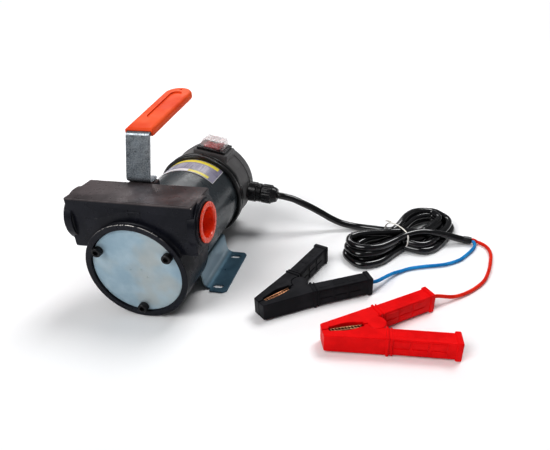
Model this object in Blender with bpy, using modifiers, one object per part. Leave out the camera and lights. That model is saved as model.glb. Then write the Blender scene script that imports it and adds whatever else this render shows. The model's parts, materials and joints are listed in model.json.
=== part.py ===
"""Self-priming 12 V fluid transfer pump with its supply lead and battery clamps.

Units are metres. +X points out of the right-hand port, +Y runs back along the motor
and +Z is up. The origin is on the floor, under the middle of the pump's own box.
"""

from math import atan2, cos, pi, radians, sin, sqrt, tan

import bmesh
import bpy
from mathutils import Matrix, Vector

MM = 0.001
GAP = 0.3 * MM                # clearance between pieces that touch

# Pump head
CHAMBER_Z = 55.0 * MM         # height of the round chamber's axis
CHAMBER_R = 54.6 * MM
RING_FRONT = -115.0 * MM      # front edge of the raised ring around the cover
RECESS_R = 48.4 * MM
RECESS_FLOOR = -109.0 * MM
CAVITY_R = 35.0 * MM
CAVITY_BACK = -75.0 * MM
HEAD_BACK = -60.0 * MM
BLOCK_HALF_X = 65.7 * MM
BLOCK_FRONT = -107.8 * MM
BLOCK_BACK = -62.0 * MM
BLOCK_BOTTOM = 76.0 * MM
BLOCK_TOP = 128.8 * MM
LUG_X = -9.5 * MM             # the handle's lug stands left of the middle
LUG_HALF = 14.5 * MM
LUG_BACK = -47.0 * MM
LUG_BOTTOM = 112.5 * MM

# Ports
PORT_Y = -85.0 * MM
PORT_Z = 102.8 * MM
PORT_BORE_R = 16.6 * MM       # G1 inch thread
PORT_FACE_X = 69.6 * MM
BOSS_R = 27.0 * MM
BOSS_STEP_R = 24.6 * MM
PORT_WALL = 12.0 * MM         # half thickness of the wall between the two ports
PLUG_RIM_R = 20.7 * MM
PLUG_OUT_X = 71.5 * MM
PLUG_BODY_R = 16.3 * MM
PLUG_DEPTH = 20.0 * MM
PLUG_FLOOR = 2.0 * MM

# Bypass valve, upright in the wall between the ports
BYPASS_SEAT = 96.0 * MM
BYPASS_TOP = 118.0 * MM
BYPASS_R = 6.5 * MM
POPPET_R = 6.0 * MM
POPPET_T = 2.6 * MM

# Front cover
COVER_R = 48.0 * MM
COVER_FRONT = -112.8 * MM
COVER_T = 2.6 * MM
GASKET_T = 0.6 * MM
SCREW_CIRCLE_R = 43.0 * MM
SCREW_ANGLES = (30.0, 150.0, 270.0)
SCREW_R = 3.0 * MM
SCREW_HEAD_R = 5.0 * MM
SCREW_HEAD = 6.0 * MM
SCREW_LENGTH = 16.0 * MM

# Motor
MOTOR_Z = 60.5 * MM           # the shaft sits above the chamber's axis
CAN_R = 51.0 * MM
CAN_WALL = 2.0 * MM
CAN_FRONT = -45.5 * MM
CAN_BACK = 64.0 * MM
FLANGE_R = 50.6 * MM
SHAFT_R = 6.0 * MM
SHAFT_FRONT = -108.3 * MM
SHAFT_BACK = 67.0 * MM
ARMATURE_R = 30.0 * MM
MAGNET_IN = 32.0 * MM
MAGNET_OUT = 48.6 * MM
COMMUTATOR_R = 12.0 * MM
RING_R = 56.0 * MM            # rubber ring behind the can
RING_Y = (54.0 * MM, 68.5 * MM)
HOUSING_R = 55.0 * MM
HOUSING_FRONT = 69.0 * MM
HOUSING_BACK = 119.1 * MM
HOUSING_WALL = 3.0 * MM

# Vane rotor
ROTOR_R = CAVITY_R - (MOTOR_Z - CHAMBER_Z) - GAP
ROTOR_FRONT = -108.5 * MM
ROTOR_LENGTH = 33.2 * MM
VANE_COUNT = 4
VANE_T = 4.0 * MM
VANE_DEPTH = 12.0 * MM

# Switch, turned round the motor's axis towards the right
SWITCH_TURN = radians(11.0)
SWITCH_Y = 86.5 * MM
SWITCH_SHIFT = 3.5 * MM       # sideways from the radial line
PAD_R = 57.6 * MM             # height of the switch pad above the motor's axis
PAD_SIZE = (46.0 * MM, 33.0 * MM)
BEZEL_SIZE = (38.0 * MM, 30.0 * MM, 3.0 * MM)
SWITCH_BODY = (30.0 * MM, 23.0 * MM, 20.0 * MM)
ROCKER_SIZE = (22.0 * MM, 18.0 * MM)
ROCKER_TILT = radians(10.0)
BOOT_SIZE = (32.0 * MM, 26.0 * MM, 10.0 * MM)

# Cable gland on the right of the rear housing
GLAND_Y = 94.0 * MM
GLAND_DROP = radians(6.0)
GLAND_R = 13.5 * MM
GLAND_JOINT = 74.0 * MM       # distance from the motor's axis to the nut
GLAND_END = 95.5 * MM

# Mounting bracket
BRACKET_HALF_X = 71.0 * MM
BRACKET_Y = (-64.0 * MM, 19.6 * MM)
BRACKET_T = 2.0 * MM
BRACKET_BEND_R = 9.0 * MM
BRACKET_FOLD_R = 2.0 * MM
FOOT_INNER_X = 44.5 * MM      # where the foot and the web would meet without the bend
CRADLE_START = radians(37.5)
CHAMFER = 4.0 * MM
SLOT_X = 59.0 * MM
SLOT_Y = (-54.2 * MM, 9.3 * MM)
SLOT_LENGTH = 12.5 * MM
SLOT_WIDTH = 7.0 * MM

# Carry handle, a flat strap that leans back and carries a sleeve grip
STRAP_WIDTH = 26.0 * MM
STRAP_T = 3.0 * MM
HANDLE_X = -10.5 * MM
STRAP_LEAN = radians(19.0)
STRAP_BEND_R = 3.5 * MM
HEEL_Y = -62.2 * MM
FOOT_BACK = -47.5 * MM
STRAP_HEIGHT = 48.6 * MM
ARM_RISE = radians(9.0)
GRIP_START = 2.5 * MM         # along the arm from its bend
GRIP_LENGTH = 112.0 * MM
GRIP_WIDTH = 30.0 * MM
GRIP_END_R = 16.5 * MM        # the grip widens to the right, towards its rounded end
GRIP_T = 9.0 * MM
HANDLE_SCREW_Y = -52.8 * MM

# Lead and wires
CABLE_D = 9.0 * MM
WIRE_D = 4.0 * MM
HANK_HEIGHT = 27.0 * MM
# Middle lines of the lead and the wires, and the hank's outline, in millimetres
LEAD_ROUTE = ((104, 94, 49.3), (117, 95, 46), (128.3, 96, 40.6), (141.6, 98, 33), (155.4, 100, 24.4),
              (168.8, 102.5, 15.6), (183, 104.5, 9), (198, 106, 5.6), (212, 105.5, 4.9), (226, 103.5, 6),
              (235, 102, 7.5))
TAIL_ROUTE = ((333, 95.8, 5.4), (337, 96.2, 5.4))
SLEEVE_START = (344 * MM, 94.9 * MM, 5.8 * MM)
SLEEVE_TURN = radians(-14.0)
SLEEVE_LENGTH = 10.5 * MM
SLEEVE_D = 10.6 * MM
BLUE_ROUTE = ((358, 84, 2.6), (355, 76, 2.4), (345, 59, 2.4), (336, 48, 2.4), (323, 38, 2.4),
              (311, 31, 2.4), (293, 25, 2.4), (275, 17, 2.4), (264, 9, 2.6), (254, -2, 5))
RED_ROUTE = ((362, 93.5, 2.8), (369, 89, 2.4), (374, 80, 2.4), (375, 66, 2.4), (372, 48, 2.4),
             (367, 28, 2.4), (359, 7, 2.4), (347, -10, 2.4), (333, -24, 2.6), (319, -35, 5))
WIRE_ENTRY = ((10 * MM, 0.0), (0.7 * MM, 0.0))   # past the handle's end, above its middle
HANK = ((191, 40), (195, 27), (203, 15), (217, 9), (235, 16), (253, 34), (268, 51), (284, 57), (300, 63),
        (315, 74), (325, 88), (332, 110), (331, 132), (324, 148), (310, 156), (292, 150), (276, 133),
        (260, 108), (247, 97), (226, 81), (206, 65), (194, 52))

# Battery clamps, lying on their sides
CLAMP_HALF = 10.2 * MM
CLAMP_MIDDLE = 11.4 * MM      # height of the middle of the clamp
JAW_LENGTH = 54.0 * MM
JAW_GAP = 2.8 * MM            # from the middle line to the shell, room for the teeth
TIP_LIP = 7.0 * MM            # the shells close in front of the teeth
TIP_HALF = 9.0 * MM
TEETH_HEIGHT = 15.2 * MM
HANDLE_LENGTH = 77.0 * MM
HANDLE_WIDTH = 16.5 * MM
HANDLE_OFFSET = 6.5 * MM      # from the pin to the handle's inner face
EAR_R = 9.2 * MM
EAR_LAYER = 8.3 * MM          # the outer ears start here, above and below the middle
EAR_INNER = 6.4 * MM          # and the inner ears start here
PIN_R = 2.5 * MM
PIN_REACH = 9.0 * MM          # the pin ends inside the outer ears
# Each clamp's pin, the direction of its jaws and how far each handle spreads from the middle line
BLACK_CLAMP = (155.0 * MM, -56.5 * MM, radians(229.6), radians(20.5))
RED_CLAMP = (240.9 * MM, -108.5 * MM, radians(200.5), radians(16.5))

FACE_X = (0.0, radians(90.0), 0.0)      # local Z along world +X
FACE_Y = (radians(-90.0), 0.0, 0.0)     # local Z along world +Y


def clear_scene():
    for thing in list(bpy.data.objects):
        bpy.data.objects.remove(thing, do_unlink=True)


def new_collection(name):
    collection = bpy.data.collections.new(name)
    bpy.context.scene.collection.children.link(collection)
    return collection


def material(name, colour, roughness, metallic=0.0, alpha=1.0):
    made = bpy.data.materials.new(name)
    made.use_nodes = True
    shader = made.node_tree.nodes["Principled BSDF"]
    shader.inputs["Base Color"].default_value = (*colour, 1.0)
    shader.inputs["Roughness"].default_value = roughness
    shader.inputs["Metallic"].default_value = metallic
    shader.inputs["Alpha"].default_value = alpha
    return made


clear_scene()
PARTS = new_collection("fluid_transfer_pump")
CUTTERS = new_collection("cutters")

BLACK_CAST = material("black_cast", (0.02, 0.02, 0.025), 0.4)
ZINC = material("zinc_plate", (0.55, 0.62, 0.68), 0.35, 1.0)
DARK_STEEL = material("dark_steel", (0.05, 0.05, 0.06), 0.4, 0.9)
BRIGHT_STEEL = material("bright_steel", (0.6, 0.6, 0.62), 0.3, 1.0)
MOTOR_PAINT = material("motor_paint", (0.06, 0.075, 0.085), 0.25)
GREY_PLASTIC = material("grey_plastic", (0.07, 0.07, 0.075), 0.5)
BLACK_PLASTIC = material("black_plastic", (0.015, 0.015, 0.018), 0.4)
BLACK_RUBBER = material("black_rubber", (0.01, 0.01, 0.01), 0.55)
ORANGE_VINYL = material("orange_vinyl", (0.85, 0.09, 0.03), 0.4)
PLUG_ORANGE = material("plug_orange", (0.9, 0.05, 0.01), 0.35)
SWITCH_RED = material("switch_red", (0.6, 0.01, 0.02), 0.2)
CLEAR_VINYL = material("clear_vinyl", (0.9, 0.9, 0.9), 0.1, 0.0, 0.35)
LABEL_FILM = material("label_film", (0.6, 0.58, 0.66), 0.4)
GRAPHITE = material("graphite", (0.03, 0.03, 0.03), 0.6)
COPPER = material("copper", (0.75, 0.35, 0.2), 0.3, 1.0)
FERRITE = material("ferrite", (0.05, 0.05, 0.05), 0.8)
CABLE_BLACK = material("cable_black", (0.01, 0.01, 0.012), 0.2)
WIRE_BLUE = material("wire_blue", (0.02, 0.2, 0.6), 0.35)
WIRE_RED = material("wire_red", (0.7, 0.05, 0.02), 0.35)
CLAMP_RED = material("clamp_red", (0.75, 0.01, 0.01), 0.35)
CLAMP_BLACK = material("clamp_black", (0.03, 0.03, 0.035), 0.4)
TIE_WHITE = material("tie_white", (0.85, 0.83, 0.78), 0.5)


def place(name, mesh, finish, location=(0, 0, 0), rotation=(0, 0, 0)):
    made = bpy.data.objects.new(name, mesh)
    made.location = location
    made.rotation_euler = rotation
    if finish is None:
        CUTTERS.objects.link(made)
        made.hide_render = True
        made.display_type = "WIRE"
    else:
        PARTS.objects.link(made)
        mesh.materials.append(finish)
    return made


def smooth(mesh, angle=35.0):
    mesh.shade_smooth()
    mesh.set_sharp_from_angle(angle=radians(angle))


def mesh_from(name, bm, smooth_it=False):
    mesh = bpy.data.meshes.new(name)
    bmesh.ops.recalc_face_normals(bm, faces=bm.faces)
    bm.to_mesh(mesh)
    bm.free()
    if smooth_it:
        smooth(mesh)
    return mesh


def box(name, size, centre, finish=None, rotation=(0, 0, 0), offset=(0, 0, 0)):
    """A block whose middle stands `offset` from its own origin, in its own axes."""
    bm = bmesh.new()
    bmesh.ops.create_cube(bm, size=1.0)
    bmesh.ops.scale(bm, vec=Vector(size), verts=bm.verts)
    bmesh.ops.translate(bm, vec=Vector(offset), verts=bm.verts)
    return place(name, mesh_from(name, bm), finish, centre, rotation)


def rod(name, radius, start, length, centre, rotation, finish=None, sides=24, radius_end=None):
    """A round bar along its local Z, from `start` for `length`."""
    bm = bmesh.new()
    end = radius if radius_end is None else radius_end
    bmesh.ops.create_cone(bm, cap_ends=True, segments=sides, radius1=radius, radius2=end, depth=length)
    bmesh.ops.translate(bm, vec=(0, 0, start + length / 2), verts=bm.verts)
    return place(name, mesh_from(name, bm, True), finish, centre, rotation)


def turned(name, profile, finish, centre=(0, 0, 0), rotation=(0, 0, 0), steps=48):
    """A profile of (radius, height) turned round the local Z axis.

    A closed outline lists its outer side from the top down and its inner side back up.
    An open one starts and ends on the axis.
    """
    on_axis = profile[0][0] == 0
    bm = bmesh.new()
    points = [bm.verts.new((radius, 0, height)) for radius, height in profile]
    for one, two in zip(points, points[1:]):
        bm.edges.new((one, two))
    if not on_axis:
        bm.edges.new((points[-1], points[0]))
    mesh = bpy.data.meshes.new(name)
    bm.to_mesh(mesh)
    bm.free()
    made = place(name, mesh, finish, centre, rotation)
    screw = made.modifiers.new("Turn", "SCREW")
    screw.steps = steps
    screw.render_steps = steps
    screw.use_merge_vertices = True
    screw.merge_threshold = 0.00001
    screw.use_smooth_shade = True
    return made


def ring(name, outer, inner, low, high, finish, centre, rotation, steps=40):
    profile = ((outer, high), (outer, low), (inner, low), (inner, high))
    return turned(name, profile, finish, centre, rotation, steps)


def outline(name, points, thickness, finish, centre=(0, 0, 0), rotation=(0, 0, 0), holes=()):
    """A flat outline in the local XY plane, as thick as `thickness` about it."""
    curve = bpy.data.curves.new(name, "CURVE")
    curve.dimensions = "2D"
    curve.fill_mode = "BOTH"
    curve.extrude = thickness / 2
    for loop in (points, *holes):
        spline = curve.splines.new("POLY")
        spline.points.add(len(loop) - 1)
        for point, (x, y) in zip(spline.points, loop):
            point.co = (x, y, 0, 1)
        spline.use_cyclic_u = True
    return place(name, curve, finish, centre, rotation)


def tube(name, points, diameter, finish, resolution=2):
    curve = bpy.data.curves.new(name, "CURVE")
    curve.dimensions = "3D"
    curve.bevel_depth = diameter / 2
    curve.bevel_resolution = resolution
    curve.use_fill_caps = True
    spline = curve.splines.new("POLY")
    spline.points.add(len(points) - 1)
    for point, place_at in zip(spline.points, points):
        point.co = (*place_at, 1)
    return place(name, curve, finish)


def as_mesh(made):
    """Turn a curve object into a mesh one, so that a Boolean can use it."""
    bpy.context.view_layer.update()
    graph = bpy.context.evaluated_depsgraph_get()
    mesh = bpy.data.meshes.new_from_object(made.evaluated_get(graph))
    bm = bmesh.new()
    bm.from_mesh(mesh)
    bmesh.ops.remove_doubles(bm, verts=bm.verts, dist=0.000001)
    bmesh.ops.recalc_face_normals(bm, faces=bm.faces)
    bm.to_mesh(mesh)
    bm.free()
    name = made.name
    collection = made.users_collection[0]
    matrix = made.matrix_world.copy()
    bpy.data.objects.remove(made, do_unlink=True)
    mesh.name = name
    new = bpy.data.objects.new(name, mesh)
    new.matrix_world = matrix
    collection.objects.link(new)
    return new


def boolean(target, other, operation):
    step = target.modifiers.new(other.name, "BOOLEAN")
    step.operation = operation
    step.solver = "EXACT"
    step.object = other
    if other.users_collection[0] != CUTTERS:
        for collection in list(other.users_collection):
            collection.objects.unlink(other)
        CUTTERS.objects.link(other)
    other.hide_render = True
    other.display_type = "WIRE"


def cut(target, *others):
    for other in others:
        boolean(target, other, "DIFFERENCE")


def join(target, *others):
    for other in others:
        boolean(target, other, "UNION")


def arc(centre, radius, start, end, count):
    """Points on a circle between two angles in degrees, both ends included."""
    step = (end - start) / (count - 1)
    turns = [radians(start + step * index) for index in range(count)]
    return [(centre[0] + radius * cos(turn), centre[1] + radius * sin(turn)) for turn in turns]


def rounded_path(corners, radius, steps=5):
    """A flat line through the corners, with each inner corner rounded."""
    path = [Vector(corners[0])]
    for before, corner, after in zip(corners, corners[1:], corners[2:]):
        corner = Vector(corner)
        back = (Vector(before) - corner).normalized()
        ahead = (Vector(after) - corner).normalized()
        half = back.angle(ahead) / 2
        centre = corner + (back + ahead).normalized() * radius / sin(half)
        one = corner + back * radius / tan(half) - centre
        two = corner + ahead * radius / tan(half) - centre
        sweep = atan2(one.x * two.y - one.y * two.x, one.dot(two))
        for step in range(steps + 1):
            turn = sweep * step / steps
            path.append(centre + Vector((one.x * cos(turn) - one.y * sin(turn),
                                         one.x * sin(turn) + one.y * cos(turn))))
    path.append(Vector(corners[-1]))
    return path


def strip(path, thickness):
    """The outline of a sheet of even thickness that follows a flat line."""
    left = []
    right = []
    for index, point in enumerate(path):
        before = path[max(index - 1, 0)]
        after = path[min(index + 1, len(path) - 1)]
        one = (point - before).normalized() if index else (after - point).normalized()
        two = (after - point).normalized() if index < len(path) - 1 else one
        middle = (one + two).normalized()
        reach = thickness / 2 / middle.dot(one)
        normal = Vector((-middle.y, middle.x)) * reach
        left.append(tuple(point + normal))
        right.append(tuple(point - normal))
    return left + right[::-1]


def catmull(before, one, two, after, t):
    """A point on the smooth curve that runs from `one` to `two`."""
    return 0.5 * (2 * one + (two - before) * t + (2 * before - 5 * one + 4 * two - after) * t ** 2
                  + (3 * one - before - 3 * two + after) * t ** 3)


def smooth_route(points, spacing):
    """Points about every `spacing` along a smooth curve through the given ones."""
    knots = [Vector(point) for point in points]
    knots = [2 * knots[0] - knots[1]] + knots + [2 * knots[-1] - knots[-2]]
    fine = []
    for four in zip(knots, knots[1:], knots[2:], knots[3:]):
        fine += [catmull(*four, part / 24) for part in range(24)]
    fine.append(knots[-2])
    lengths = [0.0]
    for one, two in zip(fine, fine[1:]):
        lengths.append(lengths[-1] + (two - one).length)
    count = max(2, round(lengths[-1] / spacing))
    route = [fine[0]]
    for index in range(1, count):
        goal = lengths[-1] * index / count
        spot = next(number for number, length in enumerate(lengths) if length >= goal)
        share = (goal - lengths[spot - 1]) / (lengths[spot] - lengths[spot - 1])
        route.append(fine[spot - 1].lerp(fine[spot], share))
    route.append(fine[-1])
    return route


def hexagon(name, across, depth, centre, rotation):
    return rod(name, across / sqrt(3), 0, depth, centre, rotation, None, 6)


# ---------------------------------------------------------------- pump head

def build_head():
    height = BLOCK_TOP - BLOCK_BOTTOM
    depth = BLOCK_BACK - BLOCK_FRONT
    centre = (0, (BLOCK_FRONT + BLOCK_BACK) / 2, (BLOCK_TOP + BLOCK_BOTTOM) / 2)
    head = box("pump_body", (2 * BLOCK_HALF_X, depth, height), centre, BLACK_CAST)
    bevel = head.modifiers.new("Cast edges", "BEVEL")
    bevel.width = 1.6 * MM
    bevel.segments = 2
    axis = (0, 0, CHAMBER_Z)
    join(head, rod("chamber_form", CHAMBER_R, RING_FRONT, HEAD_BACK - RING_FRONT, axis, FACE_Y, None, 64))
    for side, tag in ((1, "right"), (-1, "left")):
        turn = (0, side * radians(90), 0)
        at = (0, PORT_Y, PORT_Z)
        join(head, rod("boss_" + tag, BOSS_R, 62 * MM, 6.1 * MM, at, turn, None, 48))
        join(head, rod("boss_step_" + tag, BOSS_STEP_R, 60 * MM, PORT_FACE_X - 60 * MM, at, turn, None, 48))
    lug_depth = LUG_BACK - BLOCK_BACK + 5 * MM
    lug_top = BLOCK_TOP - 0.1 * MM
    lug_at = (LUG_X, LUG_BACK - lug_depth / 2, (lug_top + LUG_BOTTOM) / 2)
    join(head, box("lug_form", (2 * LUG_HALF, lug_depth, lug_top - LUG_BOTTOM), lug_at))
    cut(head, rod("cover_recess", RECESS_R, RING_FRONT - MM, RECESS_FLOOR - RING_FRONT + MM, axis, FACE_Y,
                  None, 64))
    cut(head, rod("cavity", CAVITY_R, RECESS_FLOOR - MM, CAVITY_BACK - RECESS_FLOOR + MM, axis, FACE_Y,
                  None, 64))
    for side, tag in ((1, "right"), (-1, "left")):
        turn = (0, side * radians(90), 0)
        cut(head, rod("port_bore_" + tag, PORT_BORE_R, PORT_WALL, 70 * MM, (0, PORT_Y, PORT_Z), turn,
                      None, 40))
        cut(head, box("passage_" + tag, (9 * MM, 18 * MM, 20 * MM), (side * 20 * MM, PORT_Y, 83 * MM)))
    cut_bypass(head)
    cut(head, rod("shaft_hole", 7.0 * MM, CAVITY_BACK - MM, 20 * MM, (0, 0, MOTOR_Z), FACE_Y, None, 24))
    cut(head, rod("seal_pocket", 13.0 * MM, -69 * MM, 12 * MM, (0, 0, MOTOR_Z), FACE_Y, None, 32))
    for index, (x, z) in enumerate(screw_places()):
        cut(head, rod("screw_hole_%d" % (index + 1), SCREW_R + GAP, RECESS_FLOOR - MM, 13 * MM, (x, 0, z),
                      FACE_Y, None, 16))
    cut(head, rod("handle_hole", 2.8 * MM, LUG_BOTTOM + 2 * MM, 20 * MM, (HANDLE_X, HANDLE_SCREW_Y, 0),
                  (0, 0, 0), None, 16))


def cut_bypass(head):
    """An upright bore with a seat, joined by side holes to the two ports."""
    axis = (0, PORT_Y, 0)
    cut(head, rod("bypass_bore", BYPASS_R, BYPASS_SEAT, BYPASS_TOP - BYPASS_SEAT, axis, (0, 0, 0), None, 24))
    cut(head, rod("bypass_seat_hole", 4 * MM, 88 * MM, 10 * MM, axis, (0, 0, 0), None, 20))
    cut(head, rod("bypass_in", 2.8 * MM, 0, 15 * MM, (0, PORT_Y, 92 * MM), (0, radians(-90), 0), None, 16))
    cut(head, rod("bypass_out", 3.2 * MM, 0, 15 * MM, (0, PORT_Y, 110 * MM), FACE_X, None, 16))


def screw_places():
    return [(SCREW_CIRCLE_R * cos(radians(turn)), CHAMBER_Z + SCREW_CIRCLE_R * sin(radians(turn)))
            for turn in SCREW_ANGLES]


def build_cover():
    axis = (0, 0, CHAMBER_Z)
    cover = rod("front_cover", COVER_R, COVER_FRONT, COVER_T, axis, FACE_Y, ZINC, 64)
    gasket_front = COVER_FRONT + COVER_T + GAP
    gasket = ring("cover_gasket", COVER_R, 37 * MM, gasket_front, gasket_front + GASKET_T, BLACK_RUBBER,
                  axis, FACE_Y, 48)
    head_back = COVER_FRONT - GAP
    tip = head_back + SCREW_LENGTH
    front = head_back - SCREW_HEAD
    profile = ((0, tip), (SCREW_R - 0.5 * MM, tip), (SCREW_R, tip - 0.5 * MM), (SCREW_R, head_back),
               (SCREW_HEAD_R, head_back), (SCREW_HEAD_R, front + 0.5 * MM), (SCREW_HEAD_R - 0.5 * MM, front),
               (0, front))
    for index, (x, z) in enumerate(screw_places()):
        number = index + 1
        cut(cover, rod("cover_hole_%d" % number, SCREW_R + GAP, COVER_FRONT - MM, COVER_T + 2 * MM,
                       (x, 0, z), FACE_Y, None, 16))
        cut(gasket, rod("gasket_hole_%d" % number, SCREW_R + 0.5 * MM, gasket_front - MM, 3 * MM,
                        (x, 0, z), FACE_Y, None, 16))
        screw = turned("cover_screw_%d" % number, profile, DARK_STEEL, (x, 0, z), FACE_Y, 20)
        cut(screw, hexagon("hex_%d" % number, 5 * MM, 4 * MM, (x, front - MM, z), FACE_Y))


def build_rotor():
    axis = (0, 0, MOTOR_Z)
    rotor = rod("pump_rotor", ROTOR_R, ROTOR_FRONT, ROTOR_LENGTH, axis, FACE_Y, BRIGHT_STEEL, 48)
    cut(rotor, rod("rotor_bore", SHAFT_R + GAP, ROTOR_FRONT - MM, ROTOR_LENGTH + 2 * MM, axis, FACE_Y,
                   None, 24))
    middle = ROTOR_FRONT + ROTOR_LENGTH / 2
    inner = ROTOR_R - VANE_DEPTH - 2.0 * MM
    outer = ROTOR_R + 2.0 * MM
    slot = (outer - inner, ROTOR_LENGTH + 2 * MM, VANE_T + 2 * GAP)
    for index in range(VANE_COUNT):
        number = index + 1
        spin = (0, -2 * pi * (index + 0.5) / VANE_COUNT, 0)
        cut(rotor, box("vane_slot_%d" % number, slot, axis, None, spin, ((inner + outer) / 2, middle, 0)))
        box("vane_%d" % number, (VANE_DEPTH, ROTOR_LENGTH, VANE_T), axis, GRAPHITE, spin,
            (ROTOR_R - VANE_DEPTH / 2 - GAP, middle, 0))
    ring("shaft_seal", 12.7 * MM, SHAFT_R + GAP, -68.7 * MM, -61 * MM, BLACK_RUBBER, axis, FACE_Y, 32)


def build_port_plugs():
    out = PLUG_OUT_X
    back = PORT_FACE_X + GAP
    inner_end = out - PLUG_DEPTH - PLUG_FLOOR
    floor = inner_end + PLUG_FLOOR
    profile = ((0, floor), (14.0 * MM, floor), (14.5 * MM, out - 2 * MM), (15.8 * MM, out),
               (PLUG_RIM_R - 0.6 * MM, out), (PLUG_RIM_R, out - 0.6 * MM), (PLUG_RIM_R, back),
               (PLUG_BODY_R, back), (PLUG_BODY_R - 0.3 * MM, inner_end), (0, inner_end))
    for side, tag in ((1, "right"), (-1, "left")):
        turned(tag + "_port_plug", profile, PLUG_ORANGE, (0, PORT_Y, PORT_Z), (0, side * radians(90), 0), 36)


def build_bypass():
    seat = BYPASS_SEAT + GAP
    top = seat + POPPET_T
    profile = ((0, top + 6 * MM), (2 * MM, top + 6 * MM), (2 * MM, top), (POPPET_R, top), (POPPET_R, seat),
               (3.4 * MM, seat), (2.2 * MM, seat - 3 * MM), (0, seat - 3 * MM))
    turned("bypass_poppet", profile, BRIGHT_STEEL, (0, PORT_Y, 0), (0, 0, 0), 24)
    coil = coil_points(4.4 * MM, top + 1.0 * MM, BYPASS_TOP - 1.0 * MM, 4.5, 10)
    tube("bypass_spring", [(x, PORT_Y + y, z) for x, y, z in coil], 1.2 * MM, BRIGHT_STEEL)


def coil_points(radius, low, high, turns, per_turn):
    count = int(turns * per_turn)
    return [(radius * cos(2 * pi * index / per_turn), radius * sin(2 * pi * index / per_turn),
             low + (high - low) * index / count) for index in range(count + 1)]


# -------------------------------------------------------------------- motor

def build_motor():
    axis = (0, 0, MOTOR_Z)
    front = HEAD_BACK + GAP
    back = CAN_FRONT - GAP
    profile = ((FLANGE_R, back), (FLANGE_R, front), (7 * MM, front), (7 * MM, -54 * MM),
               (13.3 * MM, -54 * MM), (13.3 * MM, back))
    turned("motor_flange", profile, BLACK_CAST, axis, FACE_Y, 56)
    ring("front_bearing", 13 * MM, SHAFT_R + GAP, -53.7 * MM, -46.2 * MM, BRIGHT_STEEL, axis, FACE_Y, 32)
    ring("motor_can", CAN_R, CAN_R - CAN_WALL, CAN_FRONT, CAN_BACK, MOTOR_PAINT, axis, FACE_Y, 64)
    rod("motor_shaft", SHAFT_R, SHAFT_FRONT, SHAFT_BACK - SHAFT_FRONT, axis, FACE_Y, BRIGHT_STEEL, 24)
    build_armature()
    ring("commutator", COMMUTATOR_R, SHAFT_R + GAP, 30 * MM, 47 * MM, COPPER, axis, FACE_Y, 24)
    profile = ((48.7 * MM, 56 * MM), (48.7 * MM, 52 * MM), (7 * MM, 52 * MM), (7 * MM, 55 * MM),
               (11.3 * MM, 55 * MM), (11.3 * MM, 64 * MM), (14.5 * MM, 64 * MM), (14.5 * MM, 56 * MM))
    plate = turned("rear_end_plate", profile, BLACK_PLASTIC, axis, FACE_Y, 40)
    ring("rear_bearing", 11 * MM, SHAFT_R + GAP, 55.4 * MM, 62.4 * MM, BRIGHT_STEEL, axis, FACE_Y, 32)
    for side, tag in ((1, "right"), (-1, "left")):
        middle = 90 - side * 90
        points = arc((0, 0), MAGNET_OUT, middle - 62, middle + 62, 15)
        points += arc((0, 0), MAGNET_IN, middle + 62, middle - 62, 15)
        outline("magnet_" + tag, points, 52 * MM, FERRITE, (0, -2 * MM, MOTOR_Z), FACE_Y)
        reach = COMMUTATOR_R + 0.4 * MM + 8 * MM
        box("brush_" + tag, (16 * MM, 8 * MM, 7 * MM), (side * reach, 38.5 * MM, MOTOR_Z), GRAPHITE)
        join(plate, box("brush_post_" + tag, (13 * MM, 10 * MM, 10 * MM),
                        (side * 23 * MM, 47.9 * MM, MOTOR_Z)))


def build_armature():
    slots = 10
    pitch = 360 / slots
    points = []
    for index in range(slots):
        middle = pitch * index
        points += arc((0, 0), ARMATURE_R, middle - 14, middle + 14, 4)
        for turn, radius in ((middle + 14.5, 27.5 * MM), (middle + 18, 17 * MM), (middle + 21.5, 27.5 * MM)):
            points.append((radius * cos(radians(turn)), radius * sin(radians(turn))))
    bore = arc((0, 0), SHAFT_R + GAP, 0, 345, 24)
    outline("armature", points, 48 * MM, DARK_STEEL, (0, -2 * MM, MOTOR_Z), FACE_Y, (bore,))


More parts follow.
